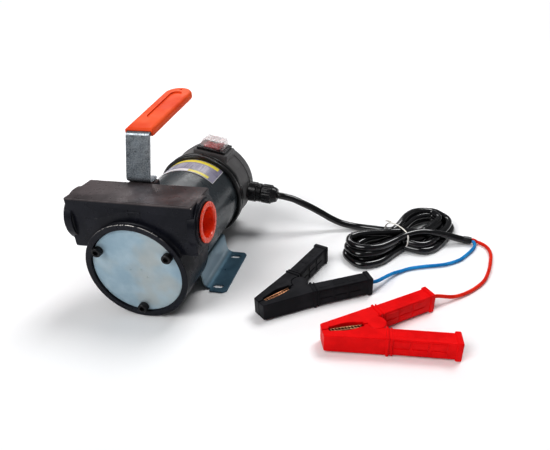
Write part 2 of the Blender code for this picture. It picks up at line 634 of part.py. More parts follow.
def build_rear():
    axis = (0, 0, MOTOR_Z)
    low, high = RING_Y
    lip = 1.5 * MM
    groove = RING_R - 2.2 * MM
    middle = (low + high) / 2
    inner = CAN_R + GAP
    profile = ((inner, high), (RING_R - lip, high), (RING_R, high - lip), (RING_R, middle + lip),
               (groove, middle + 0.4 * MM), (groove, middle - 0.4 * MM), (RING_R, middle - lip),
               (RING_R, low + lip), (RING_R - lip, low), (inner, low))
    turned("rear_seal_ring", profile, BLACK_RUBBER, axis, FACE_Y, 56)
    back = HOUSING_BACK
    profile = ((0, back), (HOUSING_R - 4.6 * MM, back), (HOUSING_R - 1.8 * MM, back - 1.2 * MM),
               (HOUSING_R - 0.6 * MM, back - 4 * MM), (HOUSING_R, HOUSING_FRONT), (0, HOUSING_FRONT))
    housing = turned("rear_housing", profile, GREY_PLASTIC, axis, FACE_Y, 56)
    turn = (0, SWITCH_TURN, 0)
    pad_low = 40 * MM
    join(housing, box("pad_form", (PAD_SIZE[0], PAD_SIZE[1], PAD_R - pad_low),
                      on_switch(0, SWITCH_Y, (PAD_R + pad_low) / 2), None, turn))
    cut(housing, rod("housing_hollow", HOUSING_R - HOUSING_WALL, HOUSING_FRONT - 2 * MM,
                     HOUSING_BACK - HOUSING_FRONT + 2 * MM - HOUSING_WALL, axis, FACE_Y, None, 56))
    hole = (SWITCH_BODY[0] + 2 * GAP, SWITCH_BODY[1] + 2 * GAP, 30 * MM)
    cut(housing, box("switch_hole", hole, on_switch(0, SWITCH_Y, 50 * MM), None, turn))
    cut(housing, rod("gland_hole", 10.6 * MM, 40 * MM, 30 * MM, (0, GLAND_Y, MOTOR_Z), gland_turn(), None, 24))
    outer = CAN_R + GAP + 0.4 * MM
    points = arc((0, 0), outer, -45.5, -130, 19) + arc((0, 0), inner, -130, -45.5, 19)
    outline("data_label", points, 37.4 * MM, LABEL_FILM, (0, 35 * MM, MOTOR_Z), FACE_Y)


def on_switch(across, along, above):
    """A point given across, along and above the motor's axis, in the switch's turned frame."""
    across = across + SWITCH_SHIFT
    return (across * cos(SWITCH_TURN) + above * sin(SWITCH_TURN), along,
            MOTOR_Z - across * sin(SWITCH_TURN) + above * cos(SWITCH_TURN))


def build_switch():
    turn = (0, SWITCH_TURN, 0)
    low = PAD_R + GAP
    bezel = box("switch_housing", BEZEL_SIZE, on_switch(0, SWITCH_Y, low + BEZEL_SIZE[2] / 2),
                BLACK_PLASTIC, turn)
    join(bezel, box("switch_body_form", SWITCH_BODY, on_switch(0, SWITCH_Y, low - 8 * MM), None, turn))
    well = (ROCKER_SIZE[0] + 1.6 * MM, ROCKER_SIZE[1] + 1.6 * MM, 14 * MM)
    cut(bezel, box("switch_well", well, on_switch(0, SWITCH_Y, low - MM), None, turn))
    half = ROCKER_SIZE[0] / 2
    flat = [(-half, 4.6 * MM), (-half + 0.5 * MM, 0), (-4 * MM, -3.4 * MM), (4 * MM, -3.4 * MM),
            (half - 0.5 * MM, 0), (half, 4.6 * MM), (0, 2.0 * MM)]
    points = [(x * cos(ROCKER_TILT) - z * sin(ROCKER_TILT), x * sin(ROCKER_TILT) + z * cos(ROCKER_TILT))
              for x, z in flat]
    outline("switch_rocker", points, ROCKER_SIZE[1], SWITCH_RED, on_switch(0, SWITCH_Y, low + 2 * MM),
            (radians(90), SWITCH_TURN, 0))
    build_boot(on_switch(0, SWITCH_Y, low + BEZEL_SIZE[2] + 0.8 * MM), turn)


def build_boot(centre, turn):
    """A thin clear cap, open underneath and narrower at the top."""
    wide, deep, high = BOOT_SIZE
    bm = bmesh.new()
    bmesh.ops.create_cube(bm, size=1.0)
    for vert in bm.verts:
        taper = 0.82 if vert.co.z > 0 else 1.0
        vert.co = Vector((vert.co.x * wide * taper, vert.co.y * deep * taper, (vert.co.z + 0.5) * high))
    bm.normal_update()
    floor = [face for face in bm.faces if face.normal.z < -0.9]
    bmesh.ops.delete(bm, geom=floor, context="FACES_ONLY")
    boot = place("switch_boot", mesh_from("switch_boot", bm), CLEAR_VINYL, centre, turn)
    shell = boot.modifiers.new("Wall", "SOLIDIFY")
    shell.thickness = 1.0 * MM
    shell.offset = -1.0


def gland_turn():
    return (0, radians(90) + GLAND_DROP, 0)


def build_gland():
    centre = (0, GLAND_Y, MOTOR_Z)
    start = HOUSING_R + GAP + 0.6 * MM
    joint_at = GLAND_JOINT
    bore = CABLE_D / 2 + 1.2 * MM
    profile = ((10 * MM, joint_at), (12 * MM, joint_at - MM), (12 * MM, 67 * MM), (GLAND_R, 66 * MM),
               (GLAND_R, start + MM), (GLAND_R - MM, start), (10.3 * MM, start), (10.3 * MM, 49 * MM),
               (bore, 49 * MM), (bore, joint_at))
    turned("gland_body", profile, BLACK_PLASTIC, centre, gland_turn(), 32)
    low = joint_at + GAP
    tight = CABLE_D / 2 + GAP
    profile = ((tight, GLAND_END), (7.5 * MM, GLAND_END), (9.5 * MM, GLAND_END - 1.5 * MM),
               (11.5 * MM, GLAND_END - 7 * MM), (13 * MM, GLAND_END - 8 * MM), (13 * MM, low),
               (tight, low))
    turned("gland_nut", profile, BLACK_PLASTIC, centre, gland_turn(), 32)


# ------------------------------------------------------------------ bracket

def build_bracket():
    """One sheet bent into two slotted feet and a cradle that follows the can."""
    middle_r = CAN_R + GAP + BRACKET_T / 2
    mid_z = BRACKET_T / 2
    peak = (middle_r * cos(CRADLE_START), MOTOR_Z - middle_r * sin(CRADLE_START))
    cradle = arc((0, MOTOR_Z), middle_r, -47, -133, 15)
    foot = rounded_path([(BRACKET_HALF_X, mid_z), (FOOT_INNER_X, mid_z), peak], BRACKET_BEND_R)
    fold = rounded_path([tuple(foot[-2]), peak, cradle[0]], BRACKET_FOLD_R, 4)
    right = foot[:-1] + fold[1:-1]
    left = [Vector((-point.x, point.y)) for point in reversed(right)]
    loop = strip(right + [Vector(point) for point in cradle] + left, BRACKET_T)
    depth = BRACKET_Y[1] - BRACKET_Y[0]
    middle = (BRACKET_Y[0] + BRACKET_Y[1]) / 2
    flat = [(x, -z) for x, z in loop]
    bracket = as_mesh(outline("mounting_bracket", flat, depth, ZINC, (0, middle, 0), FACE_Y))
    relief = (2 * (FOOT_INNER_X + 7 * MM), 10 * MM, 60 * MM)
    cut(bracket, box("chamber_relief", relief, (0, HEAD_BACK + 2 * GAP - 5 * MM, 25 * MM)))
    for side, tag in ((1, "right"), (-1, "left")):
        for end in (0, 1):
            reach = (SLOT_LENGTH - SLOT_WIDTH) / 2
            points = arc((reach, 0), SLOT_WIDTH / 2, -90, 90, 7) + arc((-reach, 0), SLOT_WIDTH / 2, 90, 270, 7)
            slot = outline("slot_%s_%d" % (tag, end), points, 10 * MM, None, (side * SLOT_X, SLOT_Y[end], MM))
            cut(bracket, as_mesh(slot))
            corner = (side * BRACKET_HALF_X, BRACKET_Y[end], 0)
            size = (CHAMFER * sqrt(2), CHAMFER * sqrt(2), 10 * MM)
            cut(bracket, box("corner_%s_%d" % (tag, end), size, corner, None, (0, 0, radians(45))))


# ------------------------------------------------------------------- handle

def build_handle():
    """A strap bent twice, side on: its foot, its leaning upright and its arm."""
    foot_z = BLOCK_TOP + GAP + STRAP_T / 2
    heel = Vector((HEEL_Y, foot_z))
    bend = heel + STRAP_HEIGHT * Vector((sin(STRAP_LEAN), cos(STRAP_LEAN)))
    along = Vector((cos(ARM_RISE), sin(ARM_RISE)))
    arm_end = bend + (GRIP_START + GRIP_LENGTH - 12 * MM) * along
    path = rounded_path([(FOOT_BACK, foot_z), tuple(heel), tuple(bend), tuple(arm_end)], STRAP_BEND_R, 4)
    side_on = (radians(90), 0, radians(90))
    strap = as_mesh(outline("handle_strap", strip(path, STRAP_T), STRAP_WIDTH, ZINC, (HANDLE_X, 0, 0), side_on))
    at = (HANDLE_X, HANDLE_SCREW_Y, 0)
    cut(strap, rod("strap_hole", 3.3 * MM, BLOCK_TOP - 2 * MM, 8 * MM, at, (0, 0, 0), None, 16))
    head = BLOCK_TOP + 2 * GAP + STRAP_T
    profile = ((0, head + 2.5 * MM), (2.5 * MM, head + 2.5 * MM), (4.5 * MM, head + 1.3 * MM), (4.5 * MM, head),
               (2.5 * MM, head), (2.5 * MM, head - 14 * MM), (0, head - 14 * MM))
    turned("handle_screw", profile, DARK_STEEL, at, (0, 0, 0), 20)
    build_grip(bend + GRIP_START * along)


def build_grip(start):
    """A sleeve with a rounded far end, slid over the arm."""
    radius = GRIP_END_R
    middle = GRIP_LENGTH - radius
    shift = GRIP_WIDTH / 2 - radius
    points = [(0, -GRIP_WIDTH / 2)] + arc((middle, shift), radius, -90, 90, 11) + [(0, GRIP_WIDTH / 2)]
    turn = (Matrix.Rotation(radians(90), 3, "Z") @ Matrix.Rotation(-ARM_RISE, 3, "Y")).to_euler()
    centre = (HANDLE_X, start.x, start.y)
    grip = as_mesh(outline("handle_grip", points, GRIP_T, ORANGE_VINYL, centre, turn))
    depth = GRIP_LENGTH - 12 * MM + GAP
    size = (depth + MM, STRAP_WIDTH + 2 * GAP, STRAP_T + 2 * GAP)
    cut(grip, box("grip_slot", size, centre, None, turn, ((depth - MM) / 2, 0, 0)))


# ---------------------------------------------------------- lead and wires

def in_metres(route):
    return [tuple(value * MM for value in point) for point in route]


def build_lead():
    gland_end = GLAND_END + GAP
    start = (gland_end * cos(GLAND_DROP), GLAND_Y, MOTOR_Z - gland_end * sin(GLAND_DROP))
    tube("supply_cable", smooth_route([start] + in_metres(LEAD_ROUTE), 2.4 * CABLE_D), CABLE_D, CABLE_BLACK)
    corners = [Vector(corner) for corner in in_metres(HANK)]
    count = len(corners)
    loop = []
    for index in range(count):
        four = [corners[(index + step) % count] for step in (-1, 0, 1, 2)]
        loop += [tuple(catmull(*four, t)) for t in (0, 0.5)]
    outline("cable_hank", loop, HANK_HEIGHT, CABLE_BLACK, (0, 0, HANK_HEIGHT / 2 + 0.4 * MM))
    tie_at = (258 * MM, 78 * MM, HANK_HEIGHT + 1.3 * MM)
    box("hank_tie", (54 * MM, 5 * MM, 1.2 * MM), tie_at, TIE_WHITE, (0, 0, radians(-68)))
    tail = smooth_route(in_metres(TAIL_ROUTE) + [by_sleeve(0, -3 * MM)], CABLE_D)
    tube("cable_tail", tail + [by_sleeve(0, -GAP)], CABLE_D, CABLE_BLACK)
    tube("cable_sleeve", [by_sleeve(0, 0), by_sleeve(0, SLEEVE_LENGTH)], SLEEVE_D, BLACK_RUBBER)
    blue_end = [on_clamp(BLACK_CLAMP, 1, HANDLE_LENGTH + reach, rise) for reach, rise in WIRE_ENTRY]
    red_end = [on_clamp(RED_CLAMP, -1, HANDLE_LENGTH + reach, rise) for reach, rise in WIRE_ENTRY]
    ahead = SLEEVE_LENGTH + 3 * MM
    near = SLEEVE_LENGTH + GAP
    spacing = 2.6 * WIRE_D
    blue = smooth_route([by_sleeve(-2.5 * MM, ahead)] + in_metres(BLUE_ROUTE) + blue_end, spacing)
    red = smooth_route([by_sleeve(2.5 * MM, ahead)] + in_metres(RED_ROUTE) + red_end, spacing)
    tube("blue_wire", [by_sleeve(-2.5 * MM, near)] + blue, WIRE_D, WIRE_BLUE)
    tube("red_wire", [by_sleeve(2.5 * MM, near)] + red, WIRE_D, WIRE_RED)


def by_sleeve(across, ahead):
    """A point `ahead` of the sleeve's start and `across` to the left of its middle line."""
    along = Vector((cos(SLEEVE_TURN), sin(SLEEVE_TURN), 0))
    return Vector(SLEEVE_START) + along * ahead + Vector((-along.y, along.x, 0)) * across


# ------------------------------------------------------------------- clamps

def along_handle(spread, side, reach, across):
    """A flat point by one handle, in the clamp's own axes, `across` from its inner face."""
    across = across + HANDLE_OFFSET
    return (-reach * cos(spread) + across * sin(spread),
            side * (reach * sin(spread) + across * cos(spread)))


def on_clamp(clamp, side, reach, rise):
    """A world point in the middle of one handle, `reach` along it and `rise` above the middle."""
    x, y, turn, spread = clamp
    local_x, local_y = along_handle(spread, side, reach, HANDLE_WIDTH / 2)
    return (x + local_x * cos(turn) - local_y * sin(turn), y + local_x * sin(turn) + local_y * cos(turn),
            CLAMP_MIDDLE + rise)


def build_shell(name, clamp, side, outer_ears, finish):
    """One lever of a clamp: half of the jaws, an ear at each face and a box-section handle."""
    centre = (clamp[0], clamp[1], CLAMP_MIDDLE)
    turn = (0, 0, clamp[2])
    spread = clamp[3]
    wide = HANDLE_WIDTH
    near = 0.5 * MM
    lip = JAW_LENGTH - TIP_LIP
    points = [(JAW_LENGTH, side * near), (lip, side * near), (lip, side * JAW_GAP),
              (12 * MM, side * JAW_GAP), (12 * MM, side * near), (-MM, side * near),
              along_handle(spread, side, 3 * MM, 0),
              along_handle(spread, side, HANDLE_LENGTH, 0), along_handle(spread, side, HANDLE_LENGTH, wide),
              along_handle(spread, side, 8 * MM, wide), (JAW_LENGTH - MM, side * TIP_HALF),
              (JAW_LENGTH, side * (TIP_HALF - MM))]
    shell = as_mesh(outline(name, points, 2 * CLAMP_HALF, finish, centre, turn))
    lean = (0, 0, clamp[2] - side * spread)
    middle = side * (HANDLE_OFFSET + wide / 2)
    for index, reach in enumerate((22, 38, 54)):
        size = (13 * MM, 8 * MM, 2 * CLAMP_HALF + 1.0 * MM)
        join(shell, box("%s_pad_%d" % (name, index), size, centre, None, lean, (-reach * MM, middle, 0)))
    rims = (("end", HANDLE_LENGTH - 2.6 * MM, 6 * MM), ("mid", 9.5 * MM, 2.5 * MM))
    for tag, reach, length in rims:
        size = (length, wide + 1.4 * MM, 2 * CLAMP_HALF + 1.6 * MM)
        join(shell, box("%s_%s_rim" % (name, tag), size, centre, None, lean, (-reach, middle, 0)))
    size = (HANDLE_LENGTH - 8 * MM, wide - 5 * MM, 12 * MM)
    at = (-HANDLE_LENGTH / 2 + 2 * MM, middle, 0)
    cut(shell, box(name + "_hollow", size, centre, None, lean, at))
    clear = EAR_R + 0.6 * MM
    if outer_ears:
        cut(shell, rod(name + "_space", clear, -EAR_LAYER, 2 * EAR_LAYER, centre, turn, None, 24))
        ear = (EAR_LAYER + GAP, CLAMP_HALF - GAP)
    else:
        cut(shell, rod(name + "_space", clear, -EAR_INNER, 2 * EAR_INNER, centre, turn, None, 24))
        for face, tag in ((1, "top"), (-1, "bottom")):
            low = EAR_LAYER - GAP if face > 0 else -EAR_LAYER + GAP - 5 * MM
            cut(shell, rod("%s_%s_relief" % (name, tag), clear, low, 5 * MM, centre, turn, None, 24))
        ear = (EAR_INNER + GAP, EAR_LAYER - 2 * GAP)
    for face, tag in ((1, "top"), (-1, "bottom")):
        low = min(face * ear[0], face * ear[1])
        join(shell, rod("%s_%s_ear" % (name, tag), EAR_R, low, ear[1] - ear[0], centre, turn, None, 24))
    reach = PIN_REACH + GAP
    cut(shell, rod(name + "_pin_hole", PIN_R + GAP, -reach, 2 * reach, centre, turn, None, 16))


def build_teeth(name, clamp, side):
    """A copper strip inside one jaw, with teeth towards the other jaw."""
    pitch = 4.0 * MM
    points = []
    start = 14.0 * MM
    x = start
    while x < JAW_LENGTH - TIP_LIP - pitch / 2:
        points += [(x, side * 1.5 * MM), (x + pitch / 2, side * 0.3 * MM)]
        x += pitch
    points += [(x, side * 1.5 * MM), (x, side * (JAW_GAP - GAP)), (start, side * (JAW_GAP - GAP))]
    outline(name, points, TEETH_HEIGHT, COPPER, (clamp[0], clamp[1], CLAMP_MIDDLE), (0, 0, clamp[2]))


def build_clamp(tag, clamp, fixed_side, finish):
    centre = (clamp[0], clamp[1], CLAMP_MIDDLE)
    build_shell(tag + "_clamp_fixed_shell", clamp, fixed_side, True, finish)
    build_shell(tag + "_clamp_moving_shell", clamp, -fixed_side, False, finish)
    build_teeth(tag + "_clamp_fixed_jaw", clamp, fixed_side)
    build_teeth(tag + "_clamp_moving_jaw", clamp, -fixed_side)
    rod(tag + "_clamp_pin", PIN_R, -PIN_REACH, 2 * PIN_REACH, centre, (0, 0, 0), COPPER, 16)
    high = 4.5 * MM
    coil = coil_points(4.4 * MM, -high, high, 3.5, 8)
    coil = [(4.4 * MM, -8.5 * MM, -high)] + coil + [(-4.4 * MM, -8.5 * MM, high)]
    turn = clamp[2] - radians(90)
    points = [(clamp[0] + x * cos(turn) - y * sin(turn), clamp[1] + x * sin(turn) + y * cos(turn),
               CLAMP_MIDDLE + z) for x, y, z in coil]
    tube(tag + "_clamp_spring", points, 1.4 * MM, BRIGHT_STEEL)


build_head()
build_cover()
build_rotor()
build_port_plugs()
build_bypass()
build_motor()
build_rear()
build_switch()
build_gland()
build_bracket()
build_handle()
build_lead()
build_clamp("black", BLACK_CLAMP, 1, CLAMP_BLACK)
build_clamp("red", RED_CLAMP, -1, CLAMP_RED)
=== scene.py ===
"""Looks of the fluid transfer pump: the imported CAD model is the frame, and every visible surface is
finished here. Lengths are in metres unless a name or comment says millimetres."""
import json
from math import atan2, cos, exp, pi, radians, sin, sqrt, tan

import bmesh
import bpy
from mathutils import Matrix, Vector

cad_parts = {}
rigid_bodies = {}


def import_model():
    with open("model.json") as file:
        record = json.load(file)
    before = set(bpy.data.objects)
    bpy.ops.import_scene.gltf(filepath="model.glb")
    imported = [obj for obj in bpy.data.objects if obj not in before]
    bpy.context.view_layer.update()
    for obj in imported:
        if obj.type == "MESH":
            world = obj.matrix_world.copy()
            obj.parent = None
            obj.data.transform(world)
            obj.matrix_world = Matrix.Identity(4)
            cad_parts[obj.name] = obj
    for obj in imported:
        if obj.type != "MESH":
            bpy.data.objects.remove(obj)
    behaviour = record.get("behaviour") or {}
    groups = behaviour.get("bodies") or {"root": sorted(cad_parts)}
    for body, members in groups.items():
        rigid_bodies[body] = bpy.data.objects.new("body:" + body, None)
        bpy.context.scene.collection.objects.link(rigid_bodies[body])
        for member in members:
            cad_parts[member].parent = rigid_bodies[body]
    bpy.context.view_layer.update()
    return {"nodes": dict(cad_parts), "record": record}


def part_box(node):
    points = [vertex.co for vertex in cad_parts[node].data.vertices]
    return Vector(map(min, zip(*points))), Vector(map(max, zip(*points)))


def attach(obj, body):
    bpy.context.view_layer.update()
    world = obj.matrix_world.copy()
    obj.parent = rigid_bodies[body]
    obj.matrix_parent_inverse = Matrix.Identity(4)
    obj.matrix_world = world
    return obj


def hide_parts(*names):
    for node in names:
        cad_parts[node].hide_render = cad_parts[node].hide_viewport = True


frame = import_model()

MM = 0.001
QUARTER = pi / 2
# Places on the pump, as part.py has them
CHAMBER_Z = 0.055
MOTOR_Z = 0.0605
PORT_Y = -0.085
PORT_Z = 0.1028
LUG_TOP = 0.1288
SWITCH_Y = 0.0865
GLAND_Y = 0.094
RECORD = frame["record"]
SLOT = {row["node"]: row["material_slot"] for row in RECORD["subparts"]}
BODY = {node: body for body, nodes in RECORD["behaviour"]["bodies"].items() for node in nodes}
LOOKS = bpy.data.collections.new("looks")
bpy.context.scene.collection.children.link(LOOKS)
CUTTERS = bpy.data.collections.new("looks_cutters")
bpy.context.scene.collection.children.link(CUTTERS)


# ---- node graphs ----

class Graph:
    """A material's node tree, with one short call for each kind of node it needs."""

    def __init__(self, name):
        self.material = bpy.data.materials.new(name)
        self.material.use_nodes = True
        self.tree = self.material.node_tree
        self.shader = self.tree.nodes["Principled BSDF"]
        self.place = self.tree.nodes.new("ShaderNodeTexCoord").outputs["Object"]

    def add(self, kind, inputs=(), **settings):
        node = self.tree.nodes.new(kind)
        for name, value in settings.items():
            setattr(node, name, value)
        for key, value in inputs:
            self.feed(node.inputs[key], value)
        return node

    def feed(self, socket, value):
        if isinstance(value, bpy.types.NodeSocket):
            self.tree.links.new(value, socket)
        elif isinstance(value, tuple) and len(value) == 3 and socket.type == "RGBA":
            socket.default_value = (*value, 1.0)
        else:
            socket.default_value = value

    def math(self, operation, one, two=0.0, clamp=False):
        node = self.add("ShaderNodeMath", ((0, one), (1, two)), operation=operation, use_clamp=clamp)
        return node.outputs[0]

    def times(self, one, two):
        return self.math("MULTIPLY", one, two)

    def noise(self, scale, detail=3.0, rough=0.55, stretch=(1, 1, 1)):
        at = self.add("ShaderNodeMapping", (("Vector", self.place), ("Scale", stretch))).outputs[0]
        node = self.add("ShaderNodeTexNoise", (("Vector", at), ("Scale", scale), ("Detail", detail),
                                               ("Roughness", rough)))
        return node.outputs["Fac"]

    def range(self, value, low, high, to_low=0.0, to_high=1.0):
        node = self.add("ShaderNodeMapRange", ((0, value), (1, low), (2, high), (3, to_low), (4, to_high)),
                        interpolation_type="SMOOTHSTEP")
        return node.outputs[0]

    def mix(self, factor, one, two):
        node = self.add("ShaderNodeMix", ((0, factor), (6, one), (7, two)), data_type="RGBA")
        return node.outputs[2]

    def axes(self):
        return self.add("ShaderNodeSeparateXYZ", ((0, self.place),)).outputs

    def near(self, value, centre, half, soft):
        """One where the value lies within `half` of the centre, fading over `soft`."""
        away = self.math("ABSOLUTE", self.math("SUBTRACT", value, centre))
        return self.range(away, half, half + soft, 1.0, 0.0)

    def finish(self, colour, rough, metal=0.0, height=None, bump=0.1, coat=0.0, **more):
        shader = self.shader
        self.feed(shader.inputs["Base Color"], colour)
        self.feed(shader.inputs["Roughness"], rough)
        self.feed(shader.inputs["Metallic"], metal)
        shader.inputs["Coat Weight"].default_value = coat
        shader.inputs["Coat Roughness"].default_value = 0.08
        for name, value in more.items():
            self.feed(shader.inputs[name.replace("_", " ")], value)
        if height is not None:
            node = self.add("ShaderNodeBump", (("Strength", bump), ("Distance", 0.0006), ("Height", height)))
            self.tree.links.new(node.outputs[0], shader.inputs["Normal"])
        return self.material


def plain(name, dark, light, rough, metal=0.0, patch=35.0, grain=600.0, bump=0.12, coat=0.0, specular=0.5):
    """A finish with soft patches of two colours, uneven gloss and a fine grain."""
    graph = Graph(name)
    cloud = graph.range(graph.noise(patch), 0.35, 0.65)
    fine = graph.noise(grain, 2.0)
    gloss = graph.range(graph.noise(patch * 3, 4.0), 0.3, 0.7, rough[0], rough[1])
    colour = graph.mix(cloud, dark, light)
    return graph.finish(colour, gloss, metal, fine, bump, coat, Specular_IOR_Level=specular)


def cast_paint():
    """Black enamel over a casting: orange peel, dull patches, a top face painted lighter as a painted sheen,
    and bare metal on the worn edges.
    """
    graph = Graph("cast_paint")
    x, y, z = graph.axes()
    cloud = graph.range(graph.noise(28, 4), 0.4, 0.62)
    # the top face gets a lighter colour than the dark front: a painted sheen of the light the glossy top
    # reflects
    top = graph.range(z, 0.1275, 0.1284)
    dark = graph.mix(cloud, (0.006, 0.007, 0.013), (0.012, 0.013, 0.021))
    top_sheen_colour = graph.mix(cloud, (0.06, 0.05, 0.052), (0.12, 0.1, 0.102))
    colour = graph.mix(top, dark, top_sheen_colour)
    front = graph.near(y, -0.1071, 0.0003, 0.0003)
    front_edge = graph.times(front, graph.near(z, 0.1281, 0.0004, 0.0004))
    chips = graph.range(graph.noise(420, 3, 0.6), 0.41, 0.48)
    rise = graph.math("SUBTRACT", z, CHAMBER_Z)
    ring_far = graph.math("SQRT", graph.math("ADD", graph.times(x, x), graph.math("POWER", rise, 2.0)))
    lip = graph.times(graph.near(ring_far, 0.0545, 0.0004, 0.0003), graph.range(y, -0.114, -0.1146))
    upper = graph.range(z, 0.09, 0.106)
    worn = graph.times(graph.math("ADD", front_edge, graph.times(lip, upper), True), chips)
    scratch = graph.range(graph.noise(160, 5, 0.7, (1, 1, 6)), 0.69, 0.71)
    worn = graph.math("ADD", worn, graph.times(scratch, 0.5), True)
    colour = graph.mix(worn, colour, (0.52, 0.5, 0.48))
    gloss = graph.range(graph.noise(90, 4), 0.3, 0.7, 0.24, 0.42)
    height = graph.math("ADD", graph.times(graph.noise(240, 2), 0.8), graph.noise(900, 2))
    metal = graph.times(worn, 0.9)
    return graph.finish(colour, gloss, metal, height, 0.16, Specular_IOR_Level=0.28)


def zinc(name, dark, light, warm, metal, rough, spangle=0.0):
    """Zinc plate with soft clouds, a warm tarnish in places and, where wanted, a speckled spangle."""
    graph = Graph(name)
    cloud = graph.range(graph.noise(26, 4, 0.6), 0.36, 0.64)
    tarnish = graph.range(graph.noise(21, 3, 0.5), 0.48, 0.68)
    colour = graph.mix(graph.times(tarnish, 0.55), graph.mix(cloud, dark, light), warm)
    speck = graph.range(graph.noise(850, 3, 0.6), 0.4, 0.62, 0.0, spangle)
    colour = graph.mix(speck, colour, (0.8, 0.84, 0.87))
    gloss = graph.range(graph.noise(120, 4), 0.3, 0.7, rough, rough + 0.12)
    return graph.finish(colour, gloss, metal, graph.noise(500, 3, 0.6, (0.2, 1, 1)), 0.04)


def bracket_zinc():
    """Blue zinc with painted reflections: painted dark on the flange, a painted highlight along the bend
    between the flange and the slope, and a mid tone higher up.
    """
    graph = Graph("bracket_zinc")
    z = graph.axes()[2]
    cloud = graph.range(graph.noise(30, 4, 0.6), 0.36, 0.64)
    # painted reflection: the flange low down is painted dark, the bend and slope get a painted highlight
    dark = graph.mix(cloud, (0.06, 0.13, 0.185), (0.1, 0.185, 0.245))
    bend_highlight = graph.mix(cloud, (0.34, 0.47, 0.55), (0.5, 0.6, 0.66))
    bend = graph.range(z, 0.0022, 0.0075)
    colour = graph.mix(bend, dark, bend_highlight)
    # higher up the painted reflection changes to a mid tone
    colour = graph.mix(graph.range(z, 0.016, 0.03, 0.0, 0.7), colour, (0.12, 0.2, 0.25))
    gloss = graph.range(graph.noise(120, 4), 0.3, 0.7, 0.34, 0.46)
    return graph.finish(colour, gloss, 0.45, graph.noise(500), 0.04)


def label_print():
    """A printed film with bands and rows of plain blocks where the lettering would stand."""
    graph = Graph("label_print")
    x, y, z = graph.axes()
    turn = graph.math("ARCTAN2", x, graph.math("SUBTRACT", z, MOTOR_Z))
    base = graph.mix(graph.range(graph.noise(60), 0.4, 0.6), (0.24, 0.23, 0.32), (0.34, 0.33, 0.42))
    rows = graph.math("FRACT", graph.times(y, 330.0))
    row = graph.range(graph.math("ABSOLUTE", graph.math("SUBTRACT", rows, 0.5)), 0.18, 0.24, 1.0, 0.0)
    words = graph.range(graph.noise(420, 1, 0.5, (1, 0.02, 1)), 0.45, 0.47)
    body = graph.times(graph.near(y, 0.0345, 0.0085, 0.0003), graph.near(turn, -0.02, 0.5, 0.01))
    ink = graph.times(graph.times(row, words), body)
    colour = graph.mix(graph.times(ink, 0.75), base, (0.72, 0.71, 0.76))
    far = graph.times(graph.near(y, 0.0487, 0.0033, 0.0002), graph.near(turn, 0.01, 0.66, 0.004))
    colour = graph.mix(far, colour, (0.9, 0.78, 0.08))
    close = graph.near(y, 0.0208, 0.0027, 0.0002)
    left = graph.range(turn, 0.1, 0.11, 1.0, 0.0)
    colour = graph.mix(graph.times(close, left), colour, (0.86, 0.86, 0.86))
    right = graph.times(graph.near(turn, 0.36, 0.25, 0.004), close)
    colour = graph.mix(right, colour, (0.86, 0.78, 0.16))
    edge = graph.math("MAXIMUM", graph.range(turn, 0.762, 0.766), graph.near(y, 0.0166, 0.0003, 0.0001))
    edge = graph.math("MAXIMUM", edge, graph.near(y, 0.0534, 0.0003, 0.0001))
    colour = graph.mix(edge, colour, (0.8, 0.8, 0.8))
    return graph.finish(colour, 0.38, 0.0, graph.noise(700, 2), 0.05, 0.2)


def clear_vinyl():
    graph = Graph("clear_vinyl")
    cloud = graph.range(graph.noise(50), 0.4, 0.6)
    colour = graph.mix(cloud, (0.95, 0.86, 0.86), (0.97, 0.93, 0.93))
    alpha = graph.range(graph.noise(80), 0.4, 0.6, 0.2, 0.3)
    return graph.finish(colour, 0.12, 0.0, graph.noise(300, 2), 0.08, Alpha=alpha)


